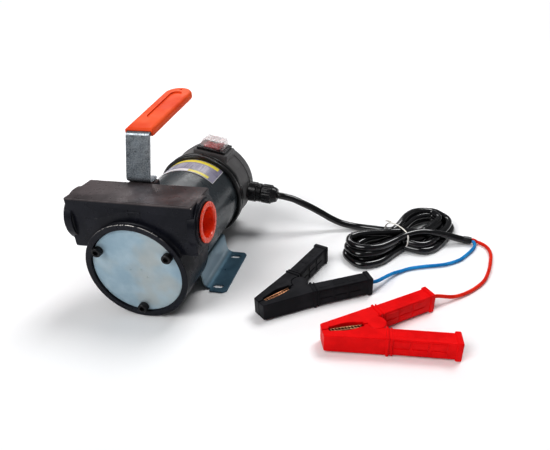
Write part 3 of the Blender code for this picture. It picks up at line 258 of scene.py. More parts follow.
# Each plain finish: its two colours, its roughness from and to, then metal, patch, grain, bump, coat
# and specular level, as far as they differ from the usual
PLAIN = {
    "dark_steel": ((0.018, 0.018, 0.02), (0.035, 0.034, 0.036), (0.28, 0.45), 0.6, 120),
    "bright_steel": ((0.52, 0.52, 0.54), (0.66, 0.66, 0.67), (0.22, 0.36), 1.0, 60),
    "motor_paint": ((0.038, 0.048, 0.055), (0.052, 0.063, 0.07), (0.24, 0.34), 0, 16, 260, 0.04, 0.15),
    "grey_plastic": ((0.135, 0.133, 0.134), (0.175, 0.172, 0.173), (0.42, 0.56), 0, 22, 1100, 0.18, 0, 0.25),
    "black_plastic": ((0.01, 0.01, 0.012), (0.018, 0.018, 0.02), (0.2, 0.32), 0, 60, 900, 0.08),
    "black_rubber": ((0.007, 0.007, 0.008), (0.014, 0.014, 0.015), (0.26, 0.42), 0, 40, 800, 0.06, 0.3),
    "orange_vinyl": ((0.8, 0.085, 0.018), (0.88, 0.13, 0.03), (0.36, 0.48), 0, 26, 700, 0.06, 0, 0.15),
    "plug_orange": ((0.84, 0.05, 0.01), (0.92, 0.085, 0.018), (0.22, 0.34), 0, 60, 600, 0.06, 0.2),
    "switch_red": ((0.5, 0.01, 0.016), (0.66, 0.02, 0.026), (0.12, 0.2), 0, 90, 500, 0.05, 0.4),
    "graphite": ((0.02, 0.02, 0.021), (0.04, 0.04, 0.042), (0.45, 0.62), 0, 150),
    "copper": ((0.36, 0.17, 0.09), (0.6, 0.32, 0.18), (0.24, 0.4), 1.0, 150, 900, 0.1),
    "ferrite": ((0.03, 0.03, 0.032), (0.055, 0.053, 0.052), (0.7, 0.9), 0, 90),
    "cable_black": ((0.004, 0.004, 0.005), (0.008, 0.008, 0.01), (0.1, 0.18), 0, 30, 420, 0.04, 0.6),
    "wire_blue": ((0.006, 0.22, 0.52), (0.02, 0.3, 0.64), (0.25, 0.35), 0, 60, 700, 0.06, 0, 0.2),
    "wire_red": ((0.66, 0.018, 0.003), (0.76, 0.035, 0.01), (0.25, 0.35), 0, 60, 700, 0.06, 0, 0.2),
    "clamp_red": ((0.7, 0.002, 0.004), (0.8, 0.005, 0.007), (0.3, 0.44), 0, 50, 800, 0.1, 0, 0.1),
    "clamp_black": ((0.01, 0.01, 0.013), (0.018, 0.018, 0.022), (0.32, 0.46), 0, 50, 800, 0.12, 0, 0.12),
    "tie_white": ((0.78, 0.75, 0.68), (0.88, 0.86, 0.82), (0.35, 0.5), 0, 200),
}
LOOK = {name: plain(name, *row) for name, row in PLAIN.items()}
LOOK["black_cast"] = cast_paint()
LOOK["zinc_plate"] = zinc("zinc_plate", (0.33, 0.45, 0.53), (0.45, 0.56, 0.62), (0.47, 0.46, 0.42), 0.3, 0.4)
LOOK["clear_vinyl"] = clear_vinyl()
LOOK["label_film"] = label_print()

STRAP_ZINC = zinc("strap_zinc", (0.13, 0.15, 0.17), (0.22, 0.25, 0.28), (0.3, 0.3, 0.3), 0.6, 0.26, 0.3)
BRACKET_ZINC = bracket_zinc()

for node, piece in frame["nodes"].items():
    piece.data.materials.clear()
    piece.data.materials.append(LOOK[SLOT[node]])


# ---- camera and light ----

CAMERA_TURN = radians(11.279)
CAMERA_DOWN = radians(28.482)
CAMERA_ROLL = radians(-0.971)
CAMERA_AT = Vector((0.23961, -0.45524, 0.31614))
CAMERA_LENS = 29.98
CAMERA_SHIFT = (-0.05147, -0.00544)


def build_camera():
    level = Vector((cos(CAMERA_TURN), sin(CAMERA_TURN), 0))
    ahead = Vector((-level.y * cos(CAMERA_DOWN), level.x * cos(CAMERA_DOWN), -sin(CAMERA_DOWN)))
    up = level.cross(ahead)
    right = level * cos(CAMERA_ROLL) + up * sin(CAMERA_ROLL)
    top = up * cos(CAMERA_ROLL) - level * sin(CAMERA_ROLL)
    data = bpy.data.cameras.new("photo_camera")
    data.sensor_width = 36.0
    data.lens = CAMERA_LENS
    data.shift_x, data.shift_y = CAMERA_SHIFT
    data.clip_start = 0.01
    camera = bpy.data.objects.new("photo_camera", data)
    bpy.context.scene.collection.objects.link(camera)
    camera.matrix_world = Matrix.Translation(CAMERA_AT) @ Matrix((right, top, -ahead)).transposed().to_4x4()
    bpy.context.scene.camera = camera


def build_lights():
    def aim(made, at, target):
        made.location = at
        made.rotation_euler = (Vector(target) - Vector(at)).to_track_quat("-Z", "Y").to_euler()
        bpy.context.scene.collection.objects.link(made)

    def sun(name, at, strength, spread):
        data = bpy.data.lights.new(name, "SUN")
        data.energy = strength
        data.angle = radians(spread)
        aim(bpy.data.objects.new(name, data), at, (0, 0, 0))

    def lamp(name, at, target, size, size_y, power):
        data = bpy.data.lights.new(name, "AREA")
        data.shape = "RECTANGLE"
        data.size = size
        data.size_y = size_y
        data.energy = power
        aim(bpy.data.objects.new(name, data), at, target)

    sun("key", (-0.9, -1.1, 1.5), 2.0, 40)
    sun("second", (0.5, 0.7, 1.5), 1.45, 26)
    lamp("strip", (-0.25, 0.95, 0.75), (0.05, 0, 0.05), 0.9, 0.18, 2.2)
    world = bpy.data.worlds.new("studio")
    world.use_nodes = True
    world.node_tree.nodes["Background"].inputs[0].default_value = (0.97, 0.98, 1.0, 1)
    world.node_tree.nodes["Background"].inputs[1].default_value = 0.22
    bpy.context.scene.world = world


def build_floor():
    bm = bmesh.new()
    bmesh.ops.create_grid(bm, x_segments=1, y_segments=1, size=14)
    mesh = bpy.data.meshes.new("studio_floor")
    bm.to_mesh(mesh)
    bm.free()
    floor = bpy.data.objects.new("studio_floor", mesh)
    floor.location = (0, 0, -0.0003)
    bpy.context.scene.collection.objects.link(floor)
    graph = Graph("floor_white")
    colour = graph.mix(graph.noise(0.6), (0.93, 0.93, 0.94), (0.95, 0.95, 0.95))
    mesh.materials.append(graph.finish(colour, 0.7, Specular_IOR_Level=0.0))


# ---- shapes ----

def at(x, y, z):
    return Matrix.Translation((x, y, z))


def spin(turn, axis):
    return Matrix.Rotation(turn, 4, axis)


FACE_X = spin(QUARTER, "Y")
FACE_Y = spin(-QUARTER, "X")


def into(bm, matrix):
    """Moves a new shape to its place."""
    bmesh.ops.transform(bm, matrix=matrix, verts=bm.verts)
    return bm


def add_piece(name, data, nodes):
    """A finished piece. It takes the body and finish of the CAD nodes it stands for."""
    piece = bpy.data.objects.new(name, data)
    LOOKS.objects.link(piece)
    node = nodes[0]
    data.materials.append(LOOK[SLOT[node]])
    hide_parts(*nodes)
    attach(piece, BODY[node])
    return piece


def as_mesh(name, bm):
    mesh = bpy.data.meshes.new(name)
    bmesh.ops.recalc_face_normals(bm, faces=bm.faces)
    bm.to_mesh(mesh)
    bm.free()
    return mesh


def show(name, bm, nodes, angle=35.0):
    mesh = as_mesh(name, bm)
    mesh.shade_smooth()
    mesh.set_sharp_from_angle(angle=radians(angle))
    return add_piece(name, mesh, nodes)


def cutter(name, bm):
    made = bpy.data.objects.new(name, as_mesh(name, bm))
    CUTTERS.objects.link(made)
    made.hide_render = True
    made.display_type = "WIRE"
    return made


def lathe(profile, sides=96):
    """A profile of (radius, height) turned about local Z. It closes itself away from the axis."""
    bm = bmesh.new()
    rings = []
    for index in range(sides):
        turn = 2 * pi * index / sides
        ring = []
        for radius, height in profile:
            if radius < 1e-9:
                ring.append(rings[0][len(ring)] if rings else bm.verts.new((0, 0, height)))
            else:
                ring.append(bm.verts.new((radius * cos(turn), radius * sin(turn), height)))
        rings.append(ring)
    closed = profile[0][0] > 1e-9
    steps = len(profile) if closed else len(profile) - 1
    for one, two in zip(rings, rings[1:] + rings[:1]):
        for step in range(steps):
            after = (step + 1) % len(profile)
            corners = [one[step], one[after], two[after], two[step]]
            corners = [vert for number, vert in enumerate(corners) if vert not in corners[:number]]
            if len(corners) > 2:
                bm.faces.new(corners)
    return bm


def rounded(profile, radius, steps=4, closed=True):
    """The same profile with its corners rounded as far as its sides allow."""
    points = [Vector(point) for point in profile]
    count = len(points)
    out = []
    for index, corner in enumerate(points):
        if not closed and index in (0, count - 1):
            out.append(tuple(corner))
            continue
        back = points[index - 1] - corner
        ahead = points[(index + 1) % count] - corner
        if back.length < 1e-7 or ahead.length < 1e-7:
            out.append(tuple(corner))
            continue
        half = back.angle(ahead) / 2
        if half > radians(86):
            out.append(tuple(corner))
            continue
        reach = min(radius / tan(half), back.length * 0.45, ahead.length * 0.45)
        one = corner + back.normalized() * reach
        two = corner + ahead.normalized() * reach
        for step in range(steps + 1):
            t = step / steps
            out.append(tuple(one * (1 - t) ** 2 + 2 * corner * t * (1 - t) + two * t ** 2))
    return out


def slab(points, low, high, bevel=0.0, steps=3):
    """A flat outline raised from one height to another, with rounded edges all round."""
    bm = bmesh.new()
    bottom = [bm.verts.new((x, y, low)) for x, y in points]
    face = bm.faces.new(bottom)
    top = bmesh.ops.extrude_face_region(bm, geom=[face])
    verts = [item for item in top["geom"] if isinstance(item, bmesh.types.BMVert)]
    bmesh.ops.translate(bm, vec=(0, 0, high - low), verts=verts)
    bmesh.ops.recalc_face_normals(bm, faces=bm.faces)
    if bevel:
        rims = [edge for edge in bm.edges if abs(edge.verts[0].co.z - edge.verts[1].co.z) < 1e-7]
        bmesh.ops.bevel(bm, geom=rims, offset=bevel, segments=steps, profile=0.5, affect="EDGES",
                        clamp_overlap=True)
    return bm


def block(size, bevel=0.0, steps=3, offset=(0, 0, 0)):
    bm = bmesh.new()
    bmesh.ops.create_cube(bm, size=1.0)
    bmesh.ops.scale(bm, vec=Vector(size), verts=bm.verts)
    if bevel:
        bmesh.ops.bevel(bm, geom=list(bm.edges), offset=bevel, segments=steps, profile=0.5, affect="EDGES")
    bmesh.ops.translate(bm, vec=Vector(offset), verts=bm.verts)
    return bm


def drum(radius, low, high, sides=96, bevel=0.0):
    profile = [(0, high), (radius, high), (radius, low), (0, low)]
    if bevel:
        profile = rounded(profile, bevel, 3, False)
    return lathe(profile, sides)


def gather(*parts):
    """Several shapes in one mesh. Each is a shape, or a shape and its place."""
    whole = bmesh.new()
    for part in parts:
        bm = into(*part) if isinstance(part, tuple) else part
        mesh = bpy.data.meshes.new("part")
        bm.to_mesh(mesh)
        bm.free()
        whole.from_mesh(mesh)
        bpy.data.meshes.remove(mesh)
    return whole


def bridge(bm, rings, looped=False):
    """Skins a row of rings, which runs round on itself or has a cap at each end."""
    for one, two in zip(rings, rings[1:] + rings[:1] if looped else rings[1:]):
        for step in range(len(one)):
            after = (step + 1) % len(one)
            bm.faces.new((one[step], one[after], two[after], two[step]))
    if not looped:
        bm.faces.new(rings[0])
        bm.faces.new(rings[-1])


def carve(piece, name, bm, joined=False):
    """Cuts a shape out. With `joined`, the piece's own overlapping shapes run into one skin too."""
    step = piece.modifiers.new(name, "BOOLEAN")
    step.operation = "DIFFERENCE"
    step.solver = "EXACT"
    step.use_self = joined
    step.object = cutter(name, bm)
    return step


def weld(piece, name, bm):
    carve(piece, name, bm).operation = "UNION"


def arc(centre, radius, start, end, count):
    step = (end - start) / (count - 1)
    return [(centre[0] + radius * cos(start + step * index), centre[1] + radius * sin(start + step * index))
            for index in range(count)]


def catmull(before, one, two, after, t):
    return 0.5 * (2 * one + (two - before) * t + (2 * before - 5 * one + 4 * two - after) * t ** 2
                  + (3 * one - before - 3 * two + after) * t ** 3)


def oval(ends, across, radius, count):
    """A slot's outline, along X from one of its two centres to the other."""
    left, right = ends
    return (arc((right, across), radius, -QUARTER, QUARTER, count)
            + arc((left, across), radius, QUARTER, 3 * QUARTER, count))


def polygon(radius, corners):
    return arc((0, 0), radius, 0, 2 * pi * (corners - 1) / corners, corners)


def smooth_line(points, spacing):
    """Points at an even spacing along a smooth curve through the given ones."""
    knots = [Vector(point) for point in points]
    knots = [2 * knots[0] - knots[1]] + knots + [2 * knots[-1] - knots[-2]]
    fine = []
    for four in zip(knots, knots[1:], knots[2:], knots[3:]):
        fine += [catmull(*four, part / 16) for part in range(16)]
    fine.append(knots[-2])
    out = [fine[0]]
    run = 0.0
    for one, two in zip(fine, fine[1:]):
        run += (two - one).length
        if run >= spacing:
            out.append(two)
            run = 0.0
    if (out[-1] - fine[-1]).length < spacing * 0.4:
        out.pop()
    out.append(fine[-1])
    return out


def tube(name, points, diameter, nodes, sides):
    data = bpy.data.curves.new(name, "CURVE")
    data.dimensions = "3D"
    data.bevel_depth = diameter / 2
    data.bevel_resolution = sides
    data.use_fill_caps = True
    spline = data.splines.new("POLY")
    spline.points.add(len(points) - 1)
    for point, place in zip(spline.points, points):
        point.co = (*place, 1)
    spline.use_smooth = True
    return add_piece(name, data, nodes)


# ---- pump head ----

CHAMBER = at(0, 0, CHAMBER_Z) @ FACE_Y
MOTOR = at(0, 0, MOTOR_Z) @ FACE_Y
SCREW_CIRCLE = 0.043
HANDLE_X = -0.0105
LUG_Y = -0.057


def port(side):
    return at(0, PORT_Y, PORT_Z) @ spin(side * QUARTER, "Y")


def screw_places():
    return arc((0, CHAMBER_Z), SCREW_CIRCLE, radians(30), radians(270), 3)


def build_head():
    low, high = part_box("pump_body")
    foot = 0.076
    block_at = at(0, -0.0849, (high.z + foot) / 2)
    rim = [(0.0546, -0.06), (0.0546, low.y), (0.0484, low.y), (0.0484, -0.109)]
    shell = [(0, -0.06)] + rounded(rim, 0.0007, 3, False) + [(0, -0.109)]
    parts = [(block((0.1314, 0.0458, high.z - foot), 0.0016, 4), block_at)]
    parts.append((lathe(shell[::-1], 128), CHAMBER))
    for side in (1, -1):
        boss = [(0, 0.06), (0.027, 0.06), (0.027, 0.0681), (0.0246, 0.0681), (0.0246, 0.0696), (0, 0.0696)]
        parts.append((lathe(rounded(boss, 0.0005, 3, False)[::-1], 96), port(side)))
    parts.append((block((0.029, 0.02, 0.0162), 0.0015, 3), at(-0.0095, LUG_Y, 0.1206)))
    flash = block((0.0012, 0.0006, 0.0006), 0.0002, 1)
    parts.append((flash, at(0.0566, -0.0625, 0.1286)))
    parts.append(cast_arrow())
    head = show("pump_body_casting", gather(*parts), ("pump_body",))
    carve(head, "chamber_bore", into(drum(0.035, -0.112, -0.075, 96), CHAMBER), True)
    for side in (1, -1):
        carve(head, "port_bore", into(drum(0.0166, 0.012, 0.082, 72), port(side)))
    carve(head, "seal_bore", into(drum(0.013, -0.069, -0.05, 48), MOTOR))
    carve(head, "shaft_bore", into(drum(0.007, -0.08, -0.06, 32), MOTOR))
    for x, z in screw_places():
        carve(head, "screw_bore", into(drum(0.0033, -0.112, -0.096, 24), at(x, 0, z) @ FACE_Y))


def cast_arrow():
    """A faint flow arrow that stands up from the front of the block, over the ring."""
    shaft = [(0.012, -0.0009), (0.012, 0.0009), (0, 0.0009), (0, 0.0024), (-0.0055, 0), (0, -0.0024),
             (0, -0.0009)]
    return slab(shaft, 0.0, 0.0009, 0.0002, 1), at(0.001, -0.1076, 0.1194) @ spin(QUARTER, "X")


def build_cover():
    """The zinc plate with its three screws and three punch marks."""
    plate = [(0, -0.1102), (0.048, -0.1102), (0.048, -0.1128), (0, -0.1128)]
    plate = lathe(rounded(plate, 0.0004, 3, False), 128)
    cover = show("front_cover_plate", into(plate, CHAMBER), ("front_cover",))
    for index, (x, z) in enumerate(screw_places()):
        carve(cover, "cover_bore", into(drum(0.0033, -0.116, -0.107, 24), at(x, 0, z) @ FACE_Y))
        cap_screw("cover_screw_%d" % (index + 1), x, z)
    marks = ((-0.0065, 0.0015), (0.0052, 0.0028), (0.0108, -0.0058))
    for x, z in marks:
        dent = lathe([(0, -0.1119), (0.0013, -0.1129), (0.0013, -0.114), (0, -0.114)], 16)
        carve(cover, "punch", into(dent, at(x, 0, CHAMBER_Z + z) @ FACE_Y))


def cap_screw(node, x, z):
    """A socket cap screw with a knurled side and a hexagon socket."""
    low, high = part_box(node)
    head_back = low.y + 0.006
    radius = 0.005
    place = at(x, 0, z) @ FACE_Y
    bm = bmesh.new()
    teeth = 36
    heights = ((low.y, 0.9, 0), (low.y + 0.0005, 0.985, 0), (low.y + 0.0009, 1.0, 1),
               (head_back - 0.0004, 1.0, 1), (head_back, 0.97, 0))
    rings = []
    for height, share, knurl in heights:
        ring = []
        for index in range(teeth * 2):
            turn = pi * index / teeth
            far = radius * share - (0.00022 if knurl and index % 2 else 0.0)
            ring.append(bm.verts.new((far * cos(turn), far * sin(turn), height)))
        rings.append(ring)
    bridge(bm, rings)
    shank = drum(0.003, head_back - 0.0005, high.y, 24)
    screw = show(node + "_finished", into(gather(bm, shank), place), (node,), 25)
    socket = polygon(0.00289, 6)
    carve(screw, node + "_socket", into(slab(socket, low.y - 0.001, low.y + 0.003), place), True)


def build_plugs():
    for side, tag in ((1, "right"), (-1, "left")):
        profile = [(0, 0.0515), (0.014, 0.0515), (0.0145, 0.0695), (0.0156, 0.0713), (0.0163, 0.0715),
                   (0.02, 0.0715), (0.0207, 0.0711), (0.0207, 0.0702), (0.0203, 0.0699), (0.0163, 0.0699),
                   (0.016, 0.0498), (0.0157, 0.0495), (0, 0.0495)]
        show(tag + "_plug_moulded", into(lathe(profile, 96), port(side)), (tag + "_port_plug",))


# ---- motor ----

def build_motor():
    low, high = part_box("motor_can")
    radius = 0.051
    can = [(radius, high.y), (radius, low.y), (radius - 0.002, low.y), (radius - 0.002, high.y)]
    show("motor_can_rolled", into(lathe(rounded(can, 0.0006, 3), 160), MOTOR), ("motor_can",))
    flange = [(0.0506, -0.0458), (0.0506, -0.0597), (0.007, -0.0597), (0.007, -0.054), (0.0133, -0.054),
              (0.0133, -0.0458)]
    show("motor_flange_turned", into(lathe(rounded(flange, 0.0005, 2), 128), MOTOR), ("motor_flange",))
    ring_out = 0.056
    low_y, high_y = 0.054, 0.0685
    middle = (low_y + high_y) / 2
    groove = ring_out - 0.0022
    ring = [(0.0513, high_y), (ring_out - 0.0012, high_y), (ring_out, high_y - 0.002),
            (ring_out, middle + 0.0016), (groove, middle + 0.0003), (groove, middle - 0.0003),
            (ring_out, middle - 0.0016), (ring_out, low_y + 0.002), (ring_out - 0.0012, low_y),
            (0.0513, low_y)]
    show("seal_ring_moulded", into(lathe(rounded(ring, 0.0016, 4), 160), MOTOR), ("rear_seal_ring",))
    near_side, far_side = radians(-45.5), radians(-130)
    points = arc((0, 0), 0.0517, near_side, far_side, 73) + arc((0, 0), 0.0513, far_side, near_side, 73)
    show("label_printed", into(slab(points, 0.0163, 0.0537), MOTOR), ("data_label",))


SWITCH_TURN = radians(11.0)
SWITCH_SHIFT = 0.0035


def on_switch(above):
    """A place on the switch's middle line, `above` the motor's axis."""
    return at(0, SWITCH_Y, MOTOR_Z) @ spin(SWITCH_TURN, "Y") @ at(SWITCH_SHIFT, 0, above)


GLAND = at(0, GLAND_Y, MOTOR_Z) @ spin(radians(96), "Y")


def build_rear():
    radius = 0.055
    front, back = 0.069, 0.1191
    skin = [(0, back), (0.0495, back), (0.053, back - 0.001), (0.0544, back - 0.004),
            (radius, front + 0.0006), (radius - 0.0005, front), (0, front)]
    skin = lathe(rounded(skin, 0.001, 3, False), 160)
    pad = block((0.046, 0.033, 0.0176), 0.0022, 4)
    proud, sunk = radius + 0.0003, radius - 0.001
    seam = lathe([(sunk, 0.1012), (proud, 0.1009), (proud, 0.1003), (sunk, 0.1)], 160)
    parts = gather((skin, MOTOR), (pad, on_switch(0.0488)), (seam, MOTOR))
    housing = show("rear_housing_moulded", parts, ("rear_housing",))
    carve(housing, "rear_hollow", into(drum(0.052, front - 0.002, back - 0.003, 128), MOTOR), True)
    carve(housing, "switch_window", into(block((0.0306, 0.0236, 0.03)), on_switch(0.05)))
    carve(housing, "gland_window", into(drum(0.0106, 0.04, 0.07, 48), GLAND))
    for x, z in ((0.036, 0.036), (-0.036, 0.036), (-0.036, -0.036), (0.036, -0.036)):
        pocket = into(drum(0.0038, back - 0.0016, back + 0.002, 32), at(x, 0, MOTOR_Z + z) @ FACE_Y)
        carve(housing, "cover_pocket", pocket)


def build_switch():
    low = 0.0579
    bezel = gather((block((0.038, 0.03, 0.003), 0.0009, 3), on_switch(low + 0.0015)),
                   (block((0.03, 0.023, 0.02)), on_switch(low - 0.008)))
    bezel = show("switch_bezel", bezel, ("switch_housing",))
    carve(bezel, "switch_well", into(block((0.0236, 0.0196, 0.014)), on_switch(low - 0.001)), True)
    half = 0.011
    tilt = radians(10)
    flat = [(-half, 0.0046), (-half + 0.0005, 0), (-0.004, -0.0034), (0.004, -0.0034), (half - 0.0005, 0),
            (half, 0.0046)]
    flat += [(half * (1 - step / 6), 0.002 + 0.0026 * (1 - step / 6) ** 2) for step in range(1, 12)]
    points = [(x * cos(tilt) - z * sin(tilt), x * sin(tilt) + z * cos(tilt)) for x, z in flat]
    rocker = slab(points, -0.009, 0.009, 0.0006, 3)
    face = on_switch(low + 0.002) @ spin(QUARTER, "X")
    show("rocker_moulded", into(rocker, face), ("switch_rocker",))
    wide, deep, high = 0.032, 0.026, 0.01
    cap = block((wide, deep, high), 0.0022, 4, (0, 0, high / 2))
    hollow = block((wide - 0.0018, deep - 0.0018, high), 0.0018, 3, (0, 0, high / 2 - 0.0009))
    for bm in (cap, hollow):
        for vert in bm.verts:
            taper = 1 - 0.18 * max(0.0, vert.co.z / high)
            vert.co.x *= taper
            vert.co.y *= taper
    place = on_switch(low + 0.0038)
    boot = show("boot_moulded", into(cap, place), ("switch_boot",))
    carve(boot, "boot_hollow", into(hollow, place))


def build_gland():
    neck = [(0.01, 0.074), (0.012, 0.073), (0.012, 0.0672), (0.0103, 0.0672), (0.0103, 0.049),
            (0.0057, 0.049), (0.0057, 0.074)]
    parts = [lathe(neck, 64), slab(polygon(0.0135, 24), 0.0559, 0.0666, 0.0008, 3)]
    for step in range(3):
        middle = 0.0685 + 0.0018 * step
        parts.append(lathe([(0.0112, middle + 0.0007), (0.0126, middle + 0.0002), (0.0126, middle - 0.0002),
                            (0.0112, middle - 0.0007)], 64))
    body = show("gland_body_moulded", into(gather(*parts), GLAND), ("gland_body",))
    carve(body, "gland_bore", into(drum(0.0056, 0.04, 0.08, 40), GLAND), True)
    low, end = 0.0743, 0.0955
    profile = [(0.0048, end), (0.007, end), (0.0086, end - 0.0006), (0.0098, end - 0.0026),
               (0.0112, end - 0.0066), (0.0118, end - 0.0078), (0.0128, end - 0.0084), (0.013, end - 0.0092),
               (0.013, low + 0.0012), (0.0124, low), (0.0048, low)]
    nut = lathe(profile, 96)
    for vert in nut.verts:
        far = sqrt(vert.co.x ** 2 + vert.co.y ** 2)
        if far > 0.0127:
            ridge = 0.5 + 0.5 * cos(16 * atan2(vert.co.y, vert.co.x))
            share = 1 - 0.055 * ridge ** 3
            vert.co.x *= share
            vert.co.y *= share
    show("gland_nut_moulded", into(nut, GLAND), ("gland_nut",))


# ---- bracket, handle ----

def rounded_path(corners, radius, steps=8):
    path = [Vector(corners[0])]
    for before, corner, after in zip(corners, corners[1:], corners[2:]):
        corner = Vector(corner)
        back = (Vector(before) - corner).normalized()
        ahead = (Vector(after) - corner).normalized()
        half = back.angle(ahead) / 2
        centre = corner + (back + ahead).normalized() * radius / sin(half)
        one = corner + back * radius / tan(half) - centre
        two = corner + ahead * radius / tan(half) - centre
        sweep = atan2(one.x * two.y - one.y * two.x, one.dot(two))
        for step in range(steps + 1):
            turn = sweep * step / steps
            path.append(centre + Vector((one.x * cos(turn) - one.y * sin(turn),
                                         one.x * sin(turn) + one.y * cos(turn))))
    path.append(Vector(corners[-1]))
    return path


def strip(path, thickness):
    """The outline of a bent sheet, from its middle line."""
    left = []
    right = []
    for index, point in enumerate(path):
        before = path[max(index - 1, 0)]
        after = path[min(index + 1, len(path) - 1)]
        one = (point - before).normalized() if index else (after - point).normalized()
        two = (after - point).normalized() if index < len(path) - 1 else one
        middle = (one + two).normalized()
        reach = thickness / 2 / middle.dot(one)
        normal = Vector((-middle.y, middle.x)) * reach
        left.append(tuple(point + normal))
        right.append(tuple(point - normal))
    return left + right[::-1]


def build_bracket():
    low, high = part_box("mounting_bracket")
    thick = 0.002
    middle_r = 0.051 + 0.0003 + thick / 2
    start = radians(37.5)
    peak = (middle_r * cos(start), MOTOR_Z - middle_r * sin(start))
    cradle = arc((0, MOTOR_Z), middle_r, radians(-47), radians(-133), 60)
    foot = rounded_path([(high.x, thick / 2), (0.0445, thick / 2), peak], 0.009, 12)
    fold = rounded_path([tuple(foot[-2]), peak, cradle[0]], 0.002, 8)
    right = foot[:-1] + fold[1:-1]
    left = [Vector((-point.x, point.y)) for point in reversed(right)]
    loop = strip(right + [Vector(point) for point in cradle] + left, thick)
    sheet = slab([(x, -z) for x, z in loop], low.y, high.y, 0.0003, 2)
    piece = show("bracket_pressed", into(sheet, FACE_Y), ("mounting_bracket",))
    piece.data.materials[0] = BRACKET_ZINC
    carve(piece, "bracket_relief", into(block((0.103, 0.01, 0.06)), at(0, -0.0644, 0.025)))
    slot = oval((-0.00275, 0.00275), 0, 0.0035, 17)
    cut = 0.004 * sqrt(2)
    for side in (1, -1):
        for y, edge in ((-0.0542, low.y), (0.0093, high.y)):
            carve(piece, "slot", into(slab(slot, -0.004, 0.006), at(side * 0.059, y, 0)))
            corner = at(side * high.x, edge, 0) @ spin(pi / 4, "Z")
            carve(piece, "corner", into(block((cut, cut, 0.01)), corner))
        dimple = lathe([(0, 0.0012), (0.001, 0.0014), (0.0018, 0.0021), (0.0018, 0.004), (0, 0.004)], 24)
        carve(piece, "dimple", into(dimple, at(side * 0.0553, -0.0224, 0)))


def build_handle():
    rise = radians(9.0)
    lean = radians(19.0)
    thick = 0.003
    foot_z = LUG_TOP + 0.0003 + thick / 2
    heel = Vector((-0.0622, foot_z))
    bend = heel + 0.0486 * Vector((sin(lean), cos(lean)))
    along = Vector((cos(rise), sin(rise)))
    arm_end = bend + 0.1025 * along
    path = rounded_path([(-0.0475, foot_z), tuple(heel), tuple(bend), tuple(arm_end)], 0.0035, 8)
    side_on = at(HANDLE_X, 0, 0) @ spin(QUARTER, "Z") @ spin(QUARTER, "X")
    strap = into(slab(strip(path, thick), -0.013, 0.013, 0.0006, 3), side_on)
    strap = show("handle_strap_bent", strap, ("handle_strap",))
    strap.data.materials[0] = STRAP_ZINC
    screw_at = at(HANDLE_X, -0.0528, 0)
    carve(strap, "strap_bore", into(drum(0.0033, 0.126, 0.136, 32), screw_at))
    head = LUG_TOP + 0.0006 + thick
    dome = [(0, head + 0.0025), (0.0022, head + 0.0024), (0.0037, head + 0.0018), (0.0044, head + 0.0009),
            (0.0045, head + 0.0001), (0.0043, head), (0.0025, head), (0.0025, head - 0.014),
            (0, head - 0.014)]
    screw = show("handle_screw_finished", into(lathe(dome, 48), screw_at), ("handle_screw",))
    for size in ((0.0011, 0.0044, 0.003), (0.0044, 0.0011, 0.003)):
        carve(screw, "cross", into(block(size), screw_at @ at(0, 0, head + 0.0025)))
    start = bend + 0.0025 * along
    place = at(HANDLE_X, start.x, start.y) @ spin(QUARTER, "Z") @ spin(-rise, "Y")
    radius = 0.0165
    middle = 0.112 - radius
    shift = 0.015 - radius
    outline = [(0, -0.015)] + arc((middle, shift), radius, -QUARTER, QUARTER, 40) + [(0, 0.015)]
    grip = show("grip_dipped", into(slab(outline, -0.0045, 0.0045, 0.0034, 6), place), ("handle_grip",))
    carve(grip, "grip_slot", into(block((0.1013, 0.0266, 0.0036), offset=(0.0496, 0, 0)), place))
    recess = slab(oval((0.033, 0.0915), -0.0015, 0.007, 24), 0.0031, 0.007, 0.0003, 2)
    carve(grip, "grip_recess", into(recess, place))
    carve(grip, "grip_eye", into(drum(0.0014, 0.0025, 0.006, 24), place @ at(0.1045, -0.003, 0)))


# ---- lead and wires ----

CABLE_D = 0.009
WIRE_D = 0.004
SLEEVE_L = 0.0105
GLAND_EXIT = Vector((0.09527, GLAND_Y, 0.05049))
COIL_MIDDLE = Vector((0.2651, 0.0846, 0))
COIL_TURN = radians(41.0)
WAIST = (-12.0, -1.0)
# For each turn: half width at the tie and height there, then how far it lies inside the outer outline
# and its height on the near and the far side of the right lobe and in the left lobe, with the left
# lobe's lean, all in millimetres
COIL = ((17.5, 5.0, 0, 5.0, 0, 5.0, 0, 5.0, -7), (8.4, 5.0, 11, 5.0, 11, 5.0, 11, 5.0, -6),
        (13.0, 13.0, 5, 11.7, 1, 14.0, 4.5, 13.0, -1), (4.6, 13.0, 16, 11.7, 12, 14.0, 15.5, 13.0, 0),
        (9.5, 21.4, 22, 12.5, 5, 22.6, 9, 21.0, 6))
# The last loop and the loose end, along and across the coil and up, in millimetres
LAST_LOOP = ((18, -9, 13), (4, -8.5, 18), (-12, -7, 21.8), (-32, 3, 21.5), (-52, 13, 21),
             (-68, 17, 20.5), (-78, 11, 20), (-80, -2, 20), (-72, -15, 20.5), (-55, -22, 20.6),
             (-34, -21, 21), (-14, -18, 21.2), (-4, -18.3, 21.3), (5, -19.7, 21.3), (14, -22.6, 21),
             (27, -28.5, 18.8), (41.9, -34.9, 14), (52, -40, 10.2), (59.5, -44.5, 7.5))
COIL_START = 0.32
COIL_END = 9 * pi - 0.5
COIL_STEPS = 1200


def ease(t):
    t = min(1.0, max(0.0, t))
    return t * t * (3 - 2 * t)


def coil_place(along, across, height):
    """A world point from millimetres along and across the coil and up."""
    return COIL_MIDDLE + Vector((along * cos(COIL_TURN) - across * sin(COIL_TURN),
                                 along * sin(COIL_TURN) + across * cos(COIL_TURN), height)) * MM


